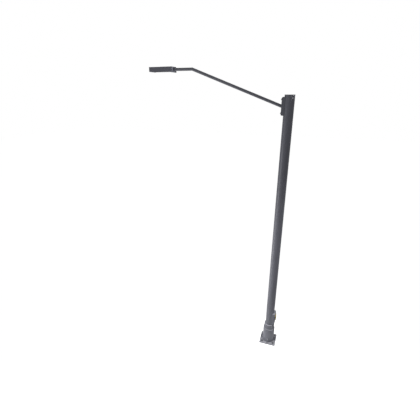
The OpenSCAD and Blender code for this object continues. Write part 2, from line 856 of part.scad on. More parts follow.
// A bore with a rounded waist, which lets the arm tube rock in it
module waist_bore(r_out) {
    waist = 30;
    h = saddle_len / 2 + 3;
    translate([-tilt_x, 0, bend_z]) rotate([0, 90, 0]) rotate_extrude() difference() {
        translate([0, -h]) square([r_out, 2 * h]);
        translate([crest_r + waist, 0]) circle(r = waist, $fn = 96);
    }
}

module slipfitter_saddle() {
    x = saddle_len / 2;
    color("slategray") difference() {
        block([-tilt_x - x, -55, strap_z], [-tilt_x + x, 55, lum_z1 - lum_wall]);
        waist_bore(crest_r + 8);
        for (y = [-1, 1])
            rod_z(strap_bolt_r + seat_fit, -tilt_x, y * strap_bolt_y, strap_z - eps, strap_z + 34);
    }
}

module slipfitter_strap() {
    x = saddle_len / 2 - 3;
    color("silver") difference() {
        union() {
            intersection() {
                rod_x(strap_ro, -tilt_x - x, -tilt_x + x, 0, bend_z);
                block([-tilt_x - x, -60, bend_z - 60], [-tilt_x + x, 60, strap_z]);
            }
            block([-tilt_x - x, -55, strap_z - strap_ear_t], [-tilt_x + x, 55, strap_z]);
        }
        waist_bore(crest_r + 8);
        for (y = [-1, 1])
            rod_z(strap_bolt_r + 0.4, -tilt_x, y * strap_bolt_y, strap_z - 10, strap_z + eps);
    }
}

module slipfitter_bolts() {
    z0 = strap_z - strap_ear_t;
    color("silver") for (y = [-1, 1]) {
        rod_z(strap_bolt_r, -tilt_x, y * strap_bolt_y, z0 - 1, strap_z + 32);
        hex_z(13, -tilt_x, y * strap_bolt_y, z0 - 6.5, z0);
    }
}

function optic_mid() = (optic_x0 + optic_x1) / 2;

module led_board() {
    l = optic_x1 - optic_x0 - 2 * lens_rim - 6;
    color("white") block([-optic_mid() - l / 2, -90, web_z - 2], [-optic_mid() + l / 2, 90, web_z]);
}

module led_places() {
    for (i = [0:led_cols - 1], j = [0:led_rows - 1])
        translate([-optic_mid() + (i - (led_cols - 1) / 2) * led_pitch_x,
                   (j - (led_rows - 1) / 2) * led_pitch_y, web_z - 2]) children();
}

module led_emitters() {
    color("khaki") led_places() block([-2.5, -2.5, -1], [2.5, 2.5, 0]);
}

// A clear plate with one domed optic under each emitter, standing on the board by its rim
module led_optics() {
    l = optic_x1 - optic_x0 - 2 * lens_rim - 14;
    z1 = web_z - 2;
    color("aliceblue") {
        difference() {
            block([-optic_mid() - l / 2, -84, z1 - 3.5], [-optic_mid() + l / 2, 84, z1]);
            block([-optic_mid() - l / 2 + 3, -81, z1 - 1.5], [-optic_mid() + l / 2 - 3, 81, z1 + eps]);
        }
        led_places() intersection() {
            translate([0, 0, 3]) sphere(r = 13, $fn = 32);
            block([-14, -14, -12], [14, 14, -2.5]);
        }
    }
}

// Outline of the optical bay's frame, drawn in by inset on every side
module optic_plate(inset, z0, z1) {
    y = lum_w / 2 - lum_wall - inset;
    block([-optic_x1 + inset, -y, z0], [-optic_x0 - inset, y, z1]);
}

module lens_frame() {
    color("slategray") difference() {
        optic_plate(0.5, lum_z0, lum_z0 + lens_frame_t);
        optic_plate(lens_rim, lum_z0 - eps, lum_z0 + lens_frame_t + eps);
        lens_screw_places() rod_z(2.3, 0, 0, lum_z0 - eps, lum_z0 + lens_frame_t + eps);
        lens_screw_places() rod_z(4.5, 0, 0, lum_z0 - eps, lum_z0 + 3);
    }
}

module lens_gasket() {
    z0 = lum_z0 + lens_frame_t;
    color("dimgray") difference() {
        optic_plate(post_w + 1, z0, z0 + lens_gasket_t);
        optic_plate(lens_rim, z0 - eps, z0 + lens_gasket_t + eps);
    }
}

module lens_glass() {
    z0 = lum_z0 + lens_frame_t + lens_gasket_t;
    color("lightcyan") optic_plate(post_w + 1, z0, z0 + glass_t);
}

module lens_screws() {
    color("silver") lens_screw_places() {
        rod_z(4, 0, 0, lum_z0 + 0.5, lum_z0 + 3);
        rod_z(2, 0, 0, lum_z0 + 2, lum_z0 + lens_frame_t + 14);
    }
}

function driver_x1() = bay_x1 - 7;
function driver_x0() = driver_x1() - 68;

module led_driver() {
    color("gainsboro") difference() {
        union() {
            block([-driver_x1(), -75, web_z - 38], [-driver_x0(), 75, web_z]);
            block([-driver_x1(), -88, web_z - 3], [-driver_x0(), 88, web_z]);
        }
        driver_screw_places() rod_z(2.3, 0, 0, web_z - 4, web_z + eps);
    }
}

module driver_screw_places() {
    for (y = [-82, 82]) translate([-(driver_x0() + driver_x1()) / 2, y, 0]) children();
}

module driver_screws() {
    color("silver") driver_screw_places() {
        rod_z(4.5, 0, 0, web_z - 6, web_z - 3);
        rod_z(2.2, 0, 0, web_z - 4, web_z);
    }
}

module surge_protector() {
    z1 = lum_z1 - lum_wall;
    color("royalblue") block([-body_x0 - 120, 64, z1 - 32], [-body_x0 - 70, 108, z1]);
}

module luminaire_terminal_block() {
    color("whitesmoke") difference() {
        block([-driver_x0(), -20, bend_z - 12], [-driver_x0() + 16, 20, bend_z + 12]);
        for (y = [-14, 14]) rod_x(2.5, -driver_x0() + 8, -driver_x0() + 17, y, bend_z);
    }
}

// The luminaire's own lead, from the splice to the terminal block
module luminaire_lead() {
    color("black") rod_x(cable_r, -driver_x0() + 16, -tilt_x - face_gap, 0, bend_z);
}

module driver_door() {
    w = lum_w - 2 * lum_wall - 2 * door_side_gap;
    x1 = door_axis_x + 4;
    color("slategray") difference() {
        union() {
            block([-x1, -w / 2, lum_z0], [-body_x0 - 4, w / 2, lum_z0 + door_t]);
            for (y = [-69.5, 54.5]) {
                rod_y(door_knuckle_r, -door_axis_x, y, y + 15, door_axis_z);
                block([-door_axis_x, y, lum_z0 + 1], [-door_axis_x + 3.5, y + 15, door_axis_z]);
            }
        }
        rod_y(door_pin_r + run_fit, -door_axis_x, -lum_w / 2, lum_w / 2, door_axis_z);
        for (y = [-85, 70])
            block([-x1 - eps, y - 1, lum_z0 - eps], [-door_axis_x + 1.5, y + 16, lum_z0 + door_t + eps]);
        rod_z(latch_r + run_fit, -latch_x, latch_y, lum_z0 - eps, lum_z0 + door_t + eps);
    }
}

module driver_door_pins() {
    color("silver") {
        rod_y(door_pin_r, -door_axis_x, -86, -54.5, door_axis_z);
        rod_y(door_pin_r, -door_axis_x, 54.5, 86, door_axis_z);
    }
}

// Quarter-turn latch: slotted head below the door and an arm above it, which points along +Y at rest
module driver_door_latch() {
    color("silver") {
        difference() {
            rod_z(latch_r + 5, -latch_x, latch_y, lum_z0 - 4, lum_z0 - face_gap);
            block([-latch_x - 8, latch_y - 1, lum_z0 - 5], [-latch_x + 8, latch_y + 1, lum_z0 - 2]);
        }
        rod_z(latch_r, -latch_x, latch_y, lum_z0 - 1, lum_z0 + 17);
        block([-latch_x - latch_r, latch_y, lum_z0 + 14], [-latch_x + latch_r, latch_y + latch_arm, lum_z0 + 17]);
    }
}

// ---- Nodes ---------------------------------------------------------------------------

base_plate();
base_gussets();
base_sleeve();
base_collar();
anchor_washers();
anchor_nuts();
pole_tube();
pole_cap();
pole_cap_screws();
handhole_frame();
handhole_gasket();
handhole_hinge_pins();
earth_bolt();
handhole_door();
lock_housing();
marker_sleeve();
lock_spindle();
lock_cam();
lock_nut();
equipment_rail();
fuse_box_base();
fuse_box_cover();
fuse_box_screws();
fuse_holders();
pole_terminal_block();
cable_glands();
riser_cable();
cable_splice();
arm_saddle();
arm_flange();
arm_washers();
arm_bolts();
arm_grommet();
arm_tube();
luminaire_body();
luminaire_end_cap();
luminaire_rear_plate();
end_screws();
slipfitter_saddle();
slipfitter_strap();
slipfitter_bolts();
led_board();
led_emitters();
led_optics();
lens_frame();
lens_gasket();
lens_glass();
lens_screws();
led_driver();
driver_screws();
surge_protector();
luminaire_terminal_block();
luminaire_lead();
driver_door();
driver_door_pins();
driver_door_latch();
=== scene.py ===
import json
import math

import bmesh
import bpy
from mathutils import Matrix, Vector


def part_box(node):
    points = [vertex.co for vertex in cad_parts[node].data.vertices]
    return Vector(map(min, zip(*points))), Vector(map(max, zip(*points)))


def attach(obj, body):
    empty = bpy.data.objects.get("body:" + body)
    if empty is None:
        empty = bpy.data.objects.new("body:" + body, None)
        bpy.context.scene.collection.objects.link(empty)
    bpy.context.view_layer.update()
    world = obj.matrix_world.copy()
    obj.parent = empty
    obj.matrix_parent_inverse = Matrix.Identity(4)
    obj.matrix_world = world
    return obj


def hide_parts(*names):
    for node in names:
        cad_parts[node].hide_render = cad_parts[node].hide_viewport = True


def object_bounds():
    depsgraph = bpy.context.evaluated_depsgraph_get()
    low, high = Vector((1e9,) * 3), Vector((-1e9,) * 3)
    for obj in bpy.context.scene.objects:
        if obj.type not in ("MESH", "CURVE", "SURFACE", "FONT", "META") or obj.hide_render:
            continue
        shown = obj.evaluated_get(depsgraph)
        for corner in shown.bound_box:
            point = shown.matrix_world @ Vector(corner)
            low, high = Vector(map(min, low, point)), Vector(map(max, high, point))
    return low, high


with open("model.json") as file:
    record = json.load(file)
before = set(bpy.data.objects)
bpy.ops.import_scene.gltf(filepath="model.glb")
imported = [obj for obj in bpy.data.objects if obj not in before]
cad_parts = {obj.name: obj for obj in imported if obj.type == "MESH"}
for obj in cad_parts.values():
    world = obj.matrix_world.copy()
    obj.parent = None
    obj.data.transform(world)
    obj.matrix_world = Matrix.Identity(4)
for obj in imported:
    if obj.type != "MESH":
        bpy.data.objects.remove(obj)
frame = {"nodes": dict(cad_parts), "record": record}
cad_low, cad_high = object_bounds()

bl_info = {
    "name": "Street lamp post",
    "version": (1, 0, 0),
    "blender": (4, 5, 0),
    "location": "View3D > Sidebar > Lamp post",
    "description": "Finishes and details for a street lamp post built on a fixed frame",
    "category": "Add Mesh",
}

MM = 0.001
FLOOR_HALF = 40.0
CAMERA_AT = (0.594, -6.448, 6.187)
CAMERA_TURN = (math.radians(68.52), 0.0, math.radians(19.17))
CAMERA_LENS = 25.9
ARM_RUN = 1.896
ARM_RISE = 0.708
ARM_SLOPE = math.atan2(ARM_RISE, ARM_RUN)


# ---- Sizes and colours a user would change ------------------------------------------


def colour_prop(name, about, default):
    return bpy.props.FloatVectorProperty(
        name=name, description=about, default=default, size=3, min=0.0, max=1.0, subtype="COLOR"
    )


def length_prop(name, about, default):
    return bpy.props.FloatProperty(
        name=name, description=about, default=default, min=0.0, unit="LENGTH", subtype="DISTANCE"
    )


def share_prop(name, about, default):
    return bpy.props.FloatProperty(
        name=name, description=about, default=default, min=0.0, max=1.0, subtype="FACTOR"
    )


class LampPaintSettings(bpy.types.PropertyGroup):
    pole: colour_prop("Pole", "Paint of the pole, base and arm", (0.178, 0.181, 0.219))
    door: colour_prop("Door", "Paint of the hand-hole door and its lock housing", (0.080, 0.081, 0.098))
    luminaire: colour_prop("Luminaire", "Paint of the luminaire's castings", (0.178, 0.181, 0.219))
    marker: colour_prop("Marker", "Reflective sleeve on the lock housing", (0.95, 0.74, 0.19))
    stripe: colour_prop("Stripe", "Band across the reflective sleeve", (0.02, 0.02, 0.022))
    # This colour also paints light: a painted highlight on upward faces and a painted lightening of the lower
    # post.
    dust: colour_prop("Dust", "Pale road dust on ledges and near the ground", (0.265, 0.267, 0.292))
    # This share also sets how strong the painted highlight and painted ground light are.
    grime_and_light: share_prop("Grime", "How strongly rain streaks and dust show", 0.35)


class LampDetailSettings(bpy.types.PropertyGroup):
    edge: length_prop("Edge radius", "Rounding of plate and casting edges", 1.2 * MM)
    weld: length_prop("Weld width", "Width of the fillet welds", 4.5 * MM)
    weld_pitch: length_prop("Weld pitch", "Distance between the ripples of a weld", 2.6 * MM)


def power_prop(name, about, default):
    return bpy.props.FloatProperty(name=name, description=about, default=default, min=0.0, unit="POWER")


def strength_prop(name, about, default):
    return bpy.props.FloatProperty(name=name, description=about, default=default, min=0.0)


class LampStageSettings(bpy.types.PropertyGroup):
    key: power_prop("Key light", "Power of the big soft box on the left", 121.0)
    low: power_prop("Low light", "Power of the small soft box low on the left", 26.0)
    right: power_prop("Right light", "Power of the big soft box on the right", 0.5)
    near: power_prop("Near right light", "Power of the small soft box low on the right", 0.5)
    front: power_prop("Front light", "Power of the soft box beside the camera", 0.5)
    spot: power_prop("Base lights", "Power of each soft spot above the base", 600.0)
    head: power_prop("Head spot", "Spot on the luminaire's end that faces the pole", 1350.0)
    door: power_prop("Door spot", "Spot on the hand hole and its marker", 170.0)
    sky: strength_prop("Sky", "Strength of the even surround", 0.25)
    glow: strength_prop("Floor glow", "How much the floor is brightened where it is seen directly", 0.78)
    floor: colour_prop("Floor", "Colour of the studio floor", (0.9, 0.9, 0.9))


# ---- Shader groups and materials ----------------------------------------------------


def new_group(name, inputs, outputs):
    """A shader node group with (name, kind, default) inputs and (name, kind) outputs."""
    tree = bpy.data.node_groups.new(name, "ShaderNodeTree")
    for label, kind, default in inputs:
        socket = tree.interface.new_socket(name=label, in_out="INPUT", socket_type=kind)
        socket.default_value = default
    for label, kind in outputs:
        tree.interface.new_socket(name=label, in_out="OUTPUT", socket_type=kind)
    return tree, tree.nodes.new("NodeGroupInput"), tree.nodes.new("NodeGroupOutput")


def wire(tree, source, target):
    tree.links.new(source, target)


def object_point(tree, stretch=(1.0, 1.0, 1.0)):
    """Object coordinates, stretched along each axis."""
    where = tree.nodes.new("ShaderNodeTexCoord")
    scaled = tree.nodes.new("ShaderNodeMapping")
    scaled.inputs["Scale"].default_value = stretch
    wire(tree, where.outputs["Object"], scaled.inputs["Vector"])
    return scaled.outputs["Vector"]


def noise(tree, vector, scale, detail=3.0, rough=0.55):
    node = tree.nodes.new("ShaderNodeTexNoise")
    node.inputs["Scale"].default_value = scale
    node.inputs["Detail"].default_value = detail
    node.inputs["Roughness"].default_value = rough
    wire(tree, vector, node.inputs["Vector"])
    return node.outputs["Fac"]


def span(tree, value, low, high, to_low=0.0, to_high=1.0):
    """Maps value from low..high onto to_low..to_high, held at the ends."""
    node = tree.nodes.new("ShaderNodeMapRange")
    node.inputs["From Min"].default_value = low
    node.inputs["From Max"].default_value = high
    node.inputs["To Min"].default_value = to_low
    node.inputs["To Max"].default_value = to_high
    wire(tree, value, node.inputs["Value"])
    return node.outputs["Result"]


def maths(tree, operation, a, b):
    node = tree.nodes.new("ShaderNodeMath")
    node.operation = operation
    for index, value in enumerate((a, b)):
        if isinstance(value, (int, float)):
            node.inputs[index].default_value = value
        else:
            wire(tree, value, node.inputs[index])
    return node.outputs["Value"]


def blend_colours(tree, factor, a, b, mode="MIX"):
    node = tree.nodes.new("ShaderNodeMix")
    node.data_type = "RGBA"
    node.blend_type = mode
    for socket, value in (("Factor", factor), ("A", a), ("B", b)):
        target = next(s for s in node.inputs if s.name == socket and s.enabled)
        if isinstance(value, (int, float)):
            target.default_value = value
        elif isinstance(value, tuple):
            target.default_value = (*value, 1.0)
        else:
            wire(tree, value, target)
    return next(s for s in node.outputs if s.name == "Result" and s.enabled)


def weather_and_light_group():
    """Rain streaks, patchy fading and a dusting that thickens just above the ground, with painted light: a
    painted highlight on upward faces and a painted lightening of the lowest few metres.
    """
    tree, given, result = new_group(
        "Weathering and painted light",
        [
            ("Colour", "NodeSocketColor", (0.1, 0.1, 0.1, 1.0)),
            # This colour paints settled road dirt and also the painted highlight on tops and the painted
            # ground light.
            ("Dust colour", "NodeSocketColor", (0.2, 0.18, 0.15, 1.0)),
            # Grime also scales the painted highlight and the painted ground light.
            ("Grime", "NodeSocketFloat", 0.3),
            ("Roughness", "NodeSocketFloat", 0.45),
        ],
        [("Colour", "NodeSocketColor"), ("Roughness", "NodeSocketFloat")],
    )
    grime_and_light = given.outputs["Grime"]
    patches = span(tree, noise(tree, object_point(tree), 3.5, 5.0), 0.35, 0.7)
    streaks = span(tree, noise(tree, object_point(tree, (38.0, 38.0, 1.3)), 1.0, 4.0), 0.52, 0.75)
    specks = span(tree, noise(tree, object_point(tree), 160.0, 2.0), 0.62, 0.78)
    split = tree.nodes.new("ShaderNodeSeparateXYZ")
    wire(tree, object_point(tree), split.inputs["Vector"])
    low_down = span(tree, split.outputs["Z"], 0.0, 0.42, 1.0, 0.0)
    # Painted ground light: a broad lightening over the lowest 3.4 m, as if lit from the floor.
    painted_ground_light = span(tree, split.outputs["Z"], 0.1, 3.4, 0.40, 0.0)
    # Painted highlight: faces that look up are lightened, as if lit from above.
    facing = tree.nodes.new("ShaderNodeSeparateXYZ")
    wire(tree, tree.nodes.new("ShaderNodeTexCoord").outputs["Normal"], facing.inputs["Vector"])
    painted_top_light = span(tree, facing.outputs["Z"], 0.45, 0.95, 0.0, 2.3)
    blotches = span(tree, noise(tree, object_point(tree), 22.0, 6.0), 0.38, 0.68)
    splash = maths(tree, "MULTIPLY", low_down, blotches)
    faded = blend_colours(tree, maths(tree, "MULTIPLY", patches, maths(tree, "MULTIPLY", grime_and_light, 0.35)),
                          given.outputs["Colour"], (0.16, 0.162, 0.17))
    streaked = blend_colours(tree, maths(tree, "MULTIPLY", streaks, maths(tree, "MULTIPLY", grime_and_light, 0.55)),
                             faded, (0.030, 0.030, 0.031))
    near_ground = maths(tree, "MAXIMUM", splash, maths(tree, "MULTIPLY", specks, 0.35))
    # Mask of road dirt near the ground joined with the painted top highlight and painted ground light.
    dust_and_light_mask = maths(tree, "MAXIMUM", near_ground, maths(tree, "MAXIMUM", painted_ground_light, painted_top_light))
    with_dust_and_painted_light = blend_colours(tree, maths(tree, "MULTIPLY", dust_and_light_mask, grime_and_light),
                           streaked, given.outputs["Dust colour"])
    wire(tree, with_dust_and_painted_light, result.inputs["Colour"])
    dirt = maths(tree, "ADD", patches, splash)
    dulled = maths(tree, "MULTIPLY", dirt, maths(tree, "MULTIPLY", grime_and_light, 0.35))
    rough = maths(tree, "ADD", given.outputs["Roughness"], dulled)
    wire(tree, rough, result.inputs["Roughness"])
    return tree


def paint_skin_group():
    """Height of sprayed powder coat: a fine orange peel over a slow wave."""
    tree, given, result = new_group(
        "Powder coat skin",
        [("Peel", "NodeSocketFloat", 0.6), ("Wave", "NodeSocketFloat", 0.4)],
        [("Height", "NodeSocketFloat")],
    )
    peel = maths(tree, "MULTIPLY", noise(tree, object_point(tree), 520.0, 2.0), given.outputs["Peel"])
    wave = maths(tree, "MULTIPLY", noise(tree, object_point(tree), 34.0, 2.0), given.outputs["Wave"])
    wire(tree, maths(tree, "ADD", peel, wave), result.inputs["Height"])
    return tree


def metal_skin_group():
    """Crystal-like patches and fine scratches of zinc-coated steel."""
    tree, given, result = new_group(
        "Zinc skin",
        [
            ("Colour", "NodeSocketColor", (0.5, 0.5, 0.5, 1.0)),
            ("Tarnish colour", "NodeSocketColor", (0.2, 0.18, 0.16, 1.0)),
            ("Tarnish", "NodeSocketFloat", 0.3),
            ("Roughness", "NodeSocketFloat", 0.4),
        ],
        [("Colour", "NodeSocketColor"), ("Roughness", "NodeSocketFloat"), ("Height", "NodeSocketFloat")],
    )
    cells = tree.nodes.new("ShaderNodeTexVoronoi")
    cells.inputs["Scale"].default_value = 180.0
    wire(tree, object_point(tree), cells.inputs["Vector"])
    flakes = span(tree, cells.outputs["Distance"], 0.0, 0.8, 0.86, 1.12)
    base = tree.nodes.new("ShaderNodeVectorMath")
    base.operation = "SCALE"
    wire(tree, given.outputs["Colour"], base.inputs[0])
    wire(tree, flakes, base.inputs["Scale"])
    spots = span(tree, noise(tree, object_point(tree), 75.0, 6.0), 0.45, 0.7)
    tarnished = blend_colours(tree, maths(tree, "MULTIPLY", spots, given.outputs["Tarnish"]),
                              base.outputs["Vector"], given.outputs["Tarnish colour"])
    wire(tree, tarnished, result.inputs["Colour"])
    wire(tree, maths(tree, "ADD", given.outputs["Roughness"],
                     maths(tree, "MULTIPLY", spots, maths(tree, "MULTIPLY", given.outputs["Tarnish"], 0.5))),
         result.inputs["Roughness"])
    fine = noise(tree, object_point(tree), 700.0)
    wire(tree, maths(tree, "ADD", maths(tree, "MULTIPLY", spots, 0.5), fine),
         result.inputs["Height"])
    return tree


def grain_group():
    """Fine moulded grain with slight colour variation, for plastic and rubber."""
    tree, given, result = new_group(
        "Moulded grain",
        [
            ("Colour", "NodeSocketColor", (0.1, 0.1, 0.1, 1.0)),
            ("Scale", "NodeSocketFloat", 900.0),
            ("Roughness", "NodeSocketFloat", 0.6),
        ],
        [("Colour", "NodeSocketColor"), ("Roughness", "NodeSocketFloat"), ("Height", "NodeSocketFloat")],
    )
    node = tree.nodes.new("ShaderNodeTexNoise")
    wire(tree, object_point(tree), node.inputs["Vector"])
    wire(tree, given.outputs["Scale"], node.inputs["Scale"])
    slow = noise(tree, object_point(tree), 40.0, 3.0)
    tint = tree.nodes.new("ShaderNodeVectorMath")
    tint.operation = "SCALE"
    wire(tree, given.outputs["Colour"], tint.inputs[0])
    wire(tree, span(tree, slow, 0.3, 0.7, 0.88, 1.1), tint.inputs["Scale"])
    wire(tree, tint.outputs["Vector"], result.inputs["Colour"])
    wire(tree, maths(tree, "ADD", given.outputs["Roughness"], span(tree, slow, 0.3, 0.7, -0.05, 0.08)),
         result.inputs["Roughness"])
    wire(tree, node.outputs["Fac"], result.inputs["Height"])
    return tree


GROUPS = {}


def placed_group(tree, key, **values):
    """Puts a shared group into a material and sets its inputs."""
    node = tree.nodes.new("ShaderNodeGroup")
    node.node_tree = GROUPS[key]
    for name, value in values.items():
        value = (*value, 1.0) if isinstance(value, tuple) else value
        node.inputs[name.replace("_", " ")].default_value = value
    return node


def new_material(name):
    made = bpy.data.materials.new(name)
    made.use_nodes = True
    return made, made.node_tree, made.node_tree.nodes["Principled BSDF"]


def add_bump(tree, shader, height, distance, strength=0.5):
    node = tree.nodes.new("ShaderNodeBump")
    node.inputs["Distance"].default_value = distance
    node.inputs["Strength"].default_value = strength
    wire(tree, height, node.inputs["Height"])
    wire(tree, node.outputs["Normal"], shader.inputs["Normal"])


def paint(name, colour, dust, grime_and_light, rough=0.42, coat=0.15, peel=0.6):
    made, tree, shader = new_material(name)
    # The group also paints light: a painted highlight on upward faces and a painted lightening of the lower
    # post.
    weather_and_light = placed_group(
        tree, "weather_and_light", Colour=tuple(colour), Dust_colour=tuple(dust), Grime=grime_and_light, Roughness=rough
    )
    skin = placed_group(tree, "paint", Peel=peel)
    wire(tree, weather_and_light.outputs["Colour"], shader.inputs["Base Color"])
    wire(tree, weather_and_light.outputs["Roughness"], shader.inputs["Roughness"])
    shader.inputs["Coat Weight"].default_value = coat
    shader.inputs["Coat Roughness"].default_value = 0.35
    add_bump(tree, shader, skin.outputs["Height"], 0.00012, 0.35)
    return made


def metal(name, colour, tarnish_colour, tarnish, rough, metallic=1.0):
    made, tree, shader = new_material(name)
    skin = placed_group(
        tree, "zinc", Colour=colour, Tarnish_colour=tarnish_colour, Tarnish=tarnish, Roughness=rough
    )
    wire(tree, skin.outputs["Colour"], shader.inputs["Base Color"])
    wire(tree, skin.outputs["Roughness"], shader.inputs["Roughness"])
    shader.inputs["Metallic"].default_value = metallic
    add_bump(tree, shader, skin.outputs["Height"], 0.00008, 0.4)
    return made


def moulded(name, colour, rough, scale=900.0, depth=0.00008, coat=0.0):
    made, tree, shader = new_material(name)
    skin = placed_group(tree, "grain", Colour=colour, Scale=scale, Roughness=rough)
    wire(tree, skin.outputs["Colour"], shader.inputs["Base Color"])
    wire(tree, skin.outputs["Roughness"], shader.inputs["Roughness"])
    shader.inputs["Coat Weight"].default_value = coat
    add_bump(tree, shader, skin.outputs["Height"], depth, 0.4)
    return made


def clear(name, colour, rough):
    made, tree, shader = new_material(name)
    skin = placed_group(tree, "grain", Colour=colour, Scale=60.0, Roughness=rough)
    wire(tree, skin.outputs["Colour"], shader.inputs["Base Color"])
    wire(tree, skin.outputs["Roughness"], shader.inputs["Roughness"])
    shader.inputs["Transmission Weight"].default_value = 1.0
    shader.inputs["IOR"].default_value = 1.49
    return made


def marker_sheet(colour, stripe):
    """Yellow retroreflective sheet with small cells and one plain band across it."""
    made, tree, shader = new_material("Marker sheet")
    low, high = (v.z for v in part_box("marker_sleeve"))
    split = tree.nodes.new("ShaderNodeSeparateXYZ")
    wire(tree, object_point(tree), split.inputs["Vector"])
    height = split.outputs["Z"]
    band_low = low + (high - low) * 0.25
    band_high = low + (high - low) * 0.50
    above = maths(tree, "GREATER_THAN", height, band_low)
    inside = maths(tree, "MULTIPLY", above, maths(tree, "LESS_THAN", height, band_high))
    cells = tree.nodes.new("ShaderNodeTexVoronoi")
    cells.feature = "DISTANCE_TO_EDGE"
    cells.inputs["Scale"].default_value = 420.0
    wire(tree, object_point(tree), cells.inputs["Vector"])
    rib = span(tree, cells.outputs["Distance"], 0.02, 0.12)
    sheet = blend_colours(tree, rib, tuple(c * 0.72 for c in colour), tuple(colour))
    faded = blend_colours(tree, span(tree, noise(tree, object_point(tree), 30.0, 5.0), 0.4, 0.75, 0.0, 0.35),
                          sheet, (0.50, 0.42, 0.20))
    wire(tree, blend_colours(tree, inside, faded, tuple(stripe)), shader.inputs["Base Color"])
    worn = span(tree, noise(tree, object_point(tree), 55.0, 3.0), 0.3, 0.7, 0.30, 0.48)
    wire(tree, worn, shader.inputs["Roughness"])
    shader.inputs["Coat Weight"].default_value = 0.3
    add_bump(tree, shader, rib, 0.00006, 0.4)
    return made


MATERIALS = {}


def make_materials():
    paints = bpy.context.scene.lamp_paint
    GROUPS["weather_and_light"] = weather_and_light_group()
    GROUPS["paint"] = paint_skin_group()
    GROUPS["zinc"] = metal_skin_group()
    GROUPS["grain"] = grain_group()
    dust, grime_and_light = paints.dust, paints.grime_and_light
    MATERIALS.update(
        pole_paint=paint("Pole paint", paints.pole, dust, grime_and_light),
        door_paint=paint("Door paint", paints.door, dust, grime_and_light, 0.46),
        luminaire_paint=paint("Luminaire paint", paints.luminaire, dust, grime_and_light * 0.7, 0.48, peel=0.9),
        weld_bead=paint("Painted weld", paints.pole, dust, grime_and_light, 0.5, peel=1.0),
        anchor_steel=metal("Anchor steel", (0.215, 0.215, 0.23), (0.11, 0.105, 0.105), 0.6, 0.48, 0.85),
        zinc_steel=metal("Zinc plated steel", (0.52, 0.53, 0.54), (0.30, 0.29, 0.27), 0.35, 0.30),
        brass=metal("Brass", (0.72, 0.52, 0.22), (0.30, 0.20, 0.09), 0.4, 0.30),
        marker_sheet=marker_sheet(paints.marker, paints.stripe),
        rubber=moulded("Rubber", (0.022, 0.022, 0.024), 0.75),
        cable_sheath=moulded("Cable sheath", (0.018, 0.018, 0.019), 0.55, 500.0),
        box_plastic=moulded("Fuse box plastic", (0.33, 0.34, 0.35), 0.50),
        black_plastic=moulded("Black plastic", (0.025, 0.025, 0.027), 0.45),
        white_plastic=moulded("White plastic", (0.72, 0.72, 0.69), 0.45),
        blue_plastic=moulded("Blue plastic", (0.05, 0.10, 0.30), 0.42),
        board_white=moulded("Circuit board mask", (0.80, 0.80, 0.78), 0.38, 300.0, 0.00004),
        phosphor=moulded("Phosphor", (0.80, 0.62, 0.14), 0.50, 1500.0),
        optic_clear=clear("Clear acrylic", (0.96, 0.97, 0.98), 0.04),
        lens_glass=clear("Toughened glass", (0.93, 0.97, 0.96), 0.03),
        driver_case=metal("Driver case", (0.66, 0.67, 0.68), (0.45, 0.45, 0.45), 0.2, 0.34),
        wire_brown=moulded("Brown wire", (0.16, 0.06, 0.03), 0.45),
        wire_blue=moulded("Blue wire", (0.03, 0.12, 0.42), 0.45),
    )


def finish_nodes():
    """Gives every CAD node the material of its slot."""
    for part in frame["record"]["subparts"]:
        node = frame["nodes"][part["node"]]
        node.data.materials.clear()
        node.data.materials.append(MATERIALS[part["material_slot"]])


# ---- Shared mesh work ---------------------------------------------------------------


def body_of_node(node):
    return next(b for b, nodes in frame["record"]["behaviour"]["bodies"].items() if node in nodes)


def slot_of_node(node):
    return next(p["material_slot"] for p in frame["record"]["subparts"] if p["node"] == node)


def link(obj):
    bpy.context.scene.collection.objects.link(obj)
    return obj


def shade(mesh, angle=32.0):
    for face in mesh.polygons:
        face.use_smooth = True
    mesh.set_sharp_from_angle(angle=math.radians(angle))


def piece(name, bm, slot, body, material=None, angle=32.0):
    """Turns a bmesh in the frame's coordinates into a finished piece on a body."""
    mesh = bpy.data.meshes.new(name)
    bm.to_mesh(mesh)
    bm.free()
    shade(mesh, angle)
    mesh.materials.append(MATERIALS[material or slot])
    obj = link(bpy.data.objects.new(name, mesh))
    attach(obj, body)
    return obj


def rounded(node, name, radius, segments=2, angle=38.0):
    """A copy of a CAD node with rounded edges, which stands for it."""
    bm = bmesh.new()
    bm.from_mesh(frame["nodes"][node].data)
    bmesh.ops.remove_doubles(bm, verts=bm.verts, dist=1e-6)
    bmesh.ops.dissolve_limit(bm, angle_limit=math.radians(0.6), verts=bm.verts, edges=bm.edges)
    obj = piece(name, bm, slot_of_node(node), body_of_node(node))
    bevel = obj.modifiers.new("Rounded edges", "BEVEL")
    bevel.width = radius
    bevel.segments = segments
    bevel.limit_method = "ANGLE"
    bevel.angle_limit = math.radians(angle)
    bevel.harden_normals = True
    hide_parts(node)
    return obj


# ---- Geometry Nodes: weld beads -----------------------------------------------------


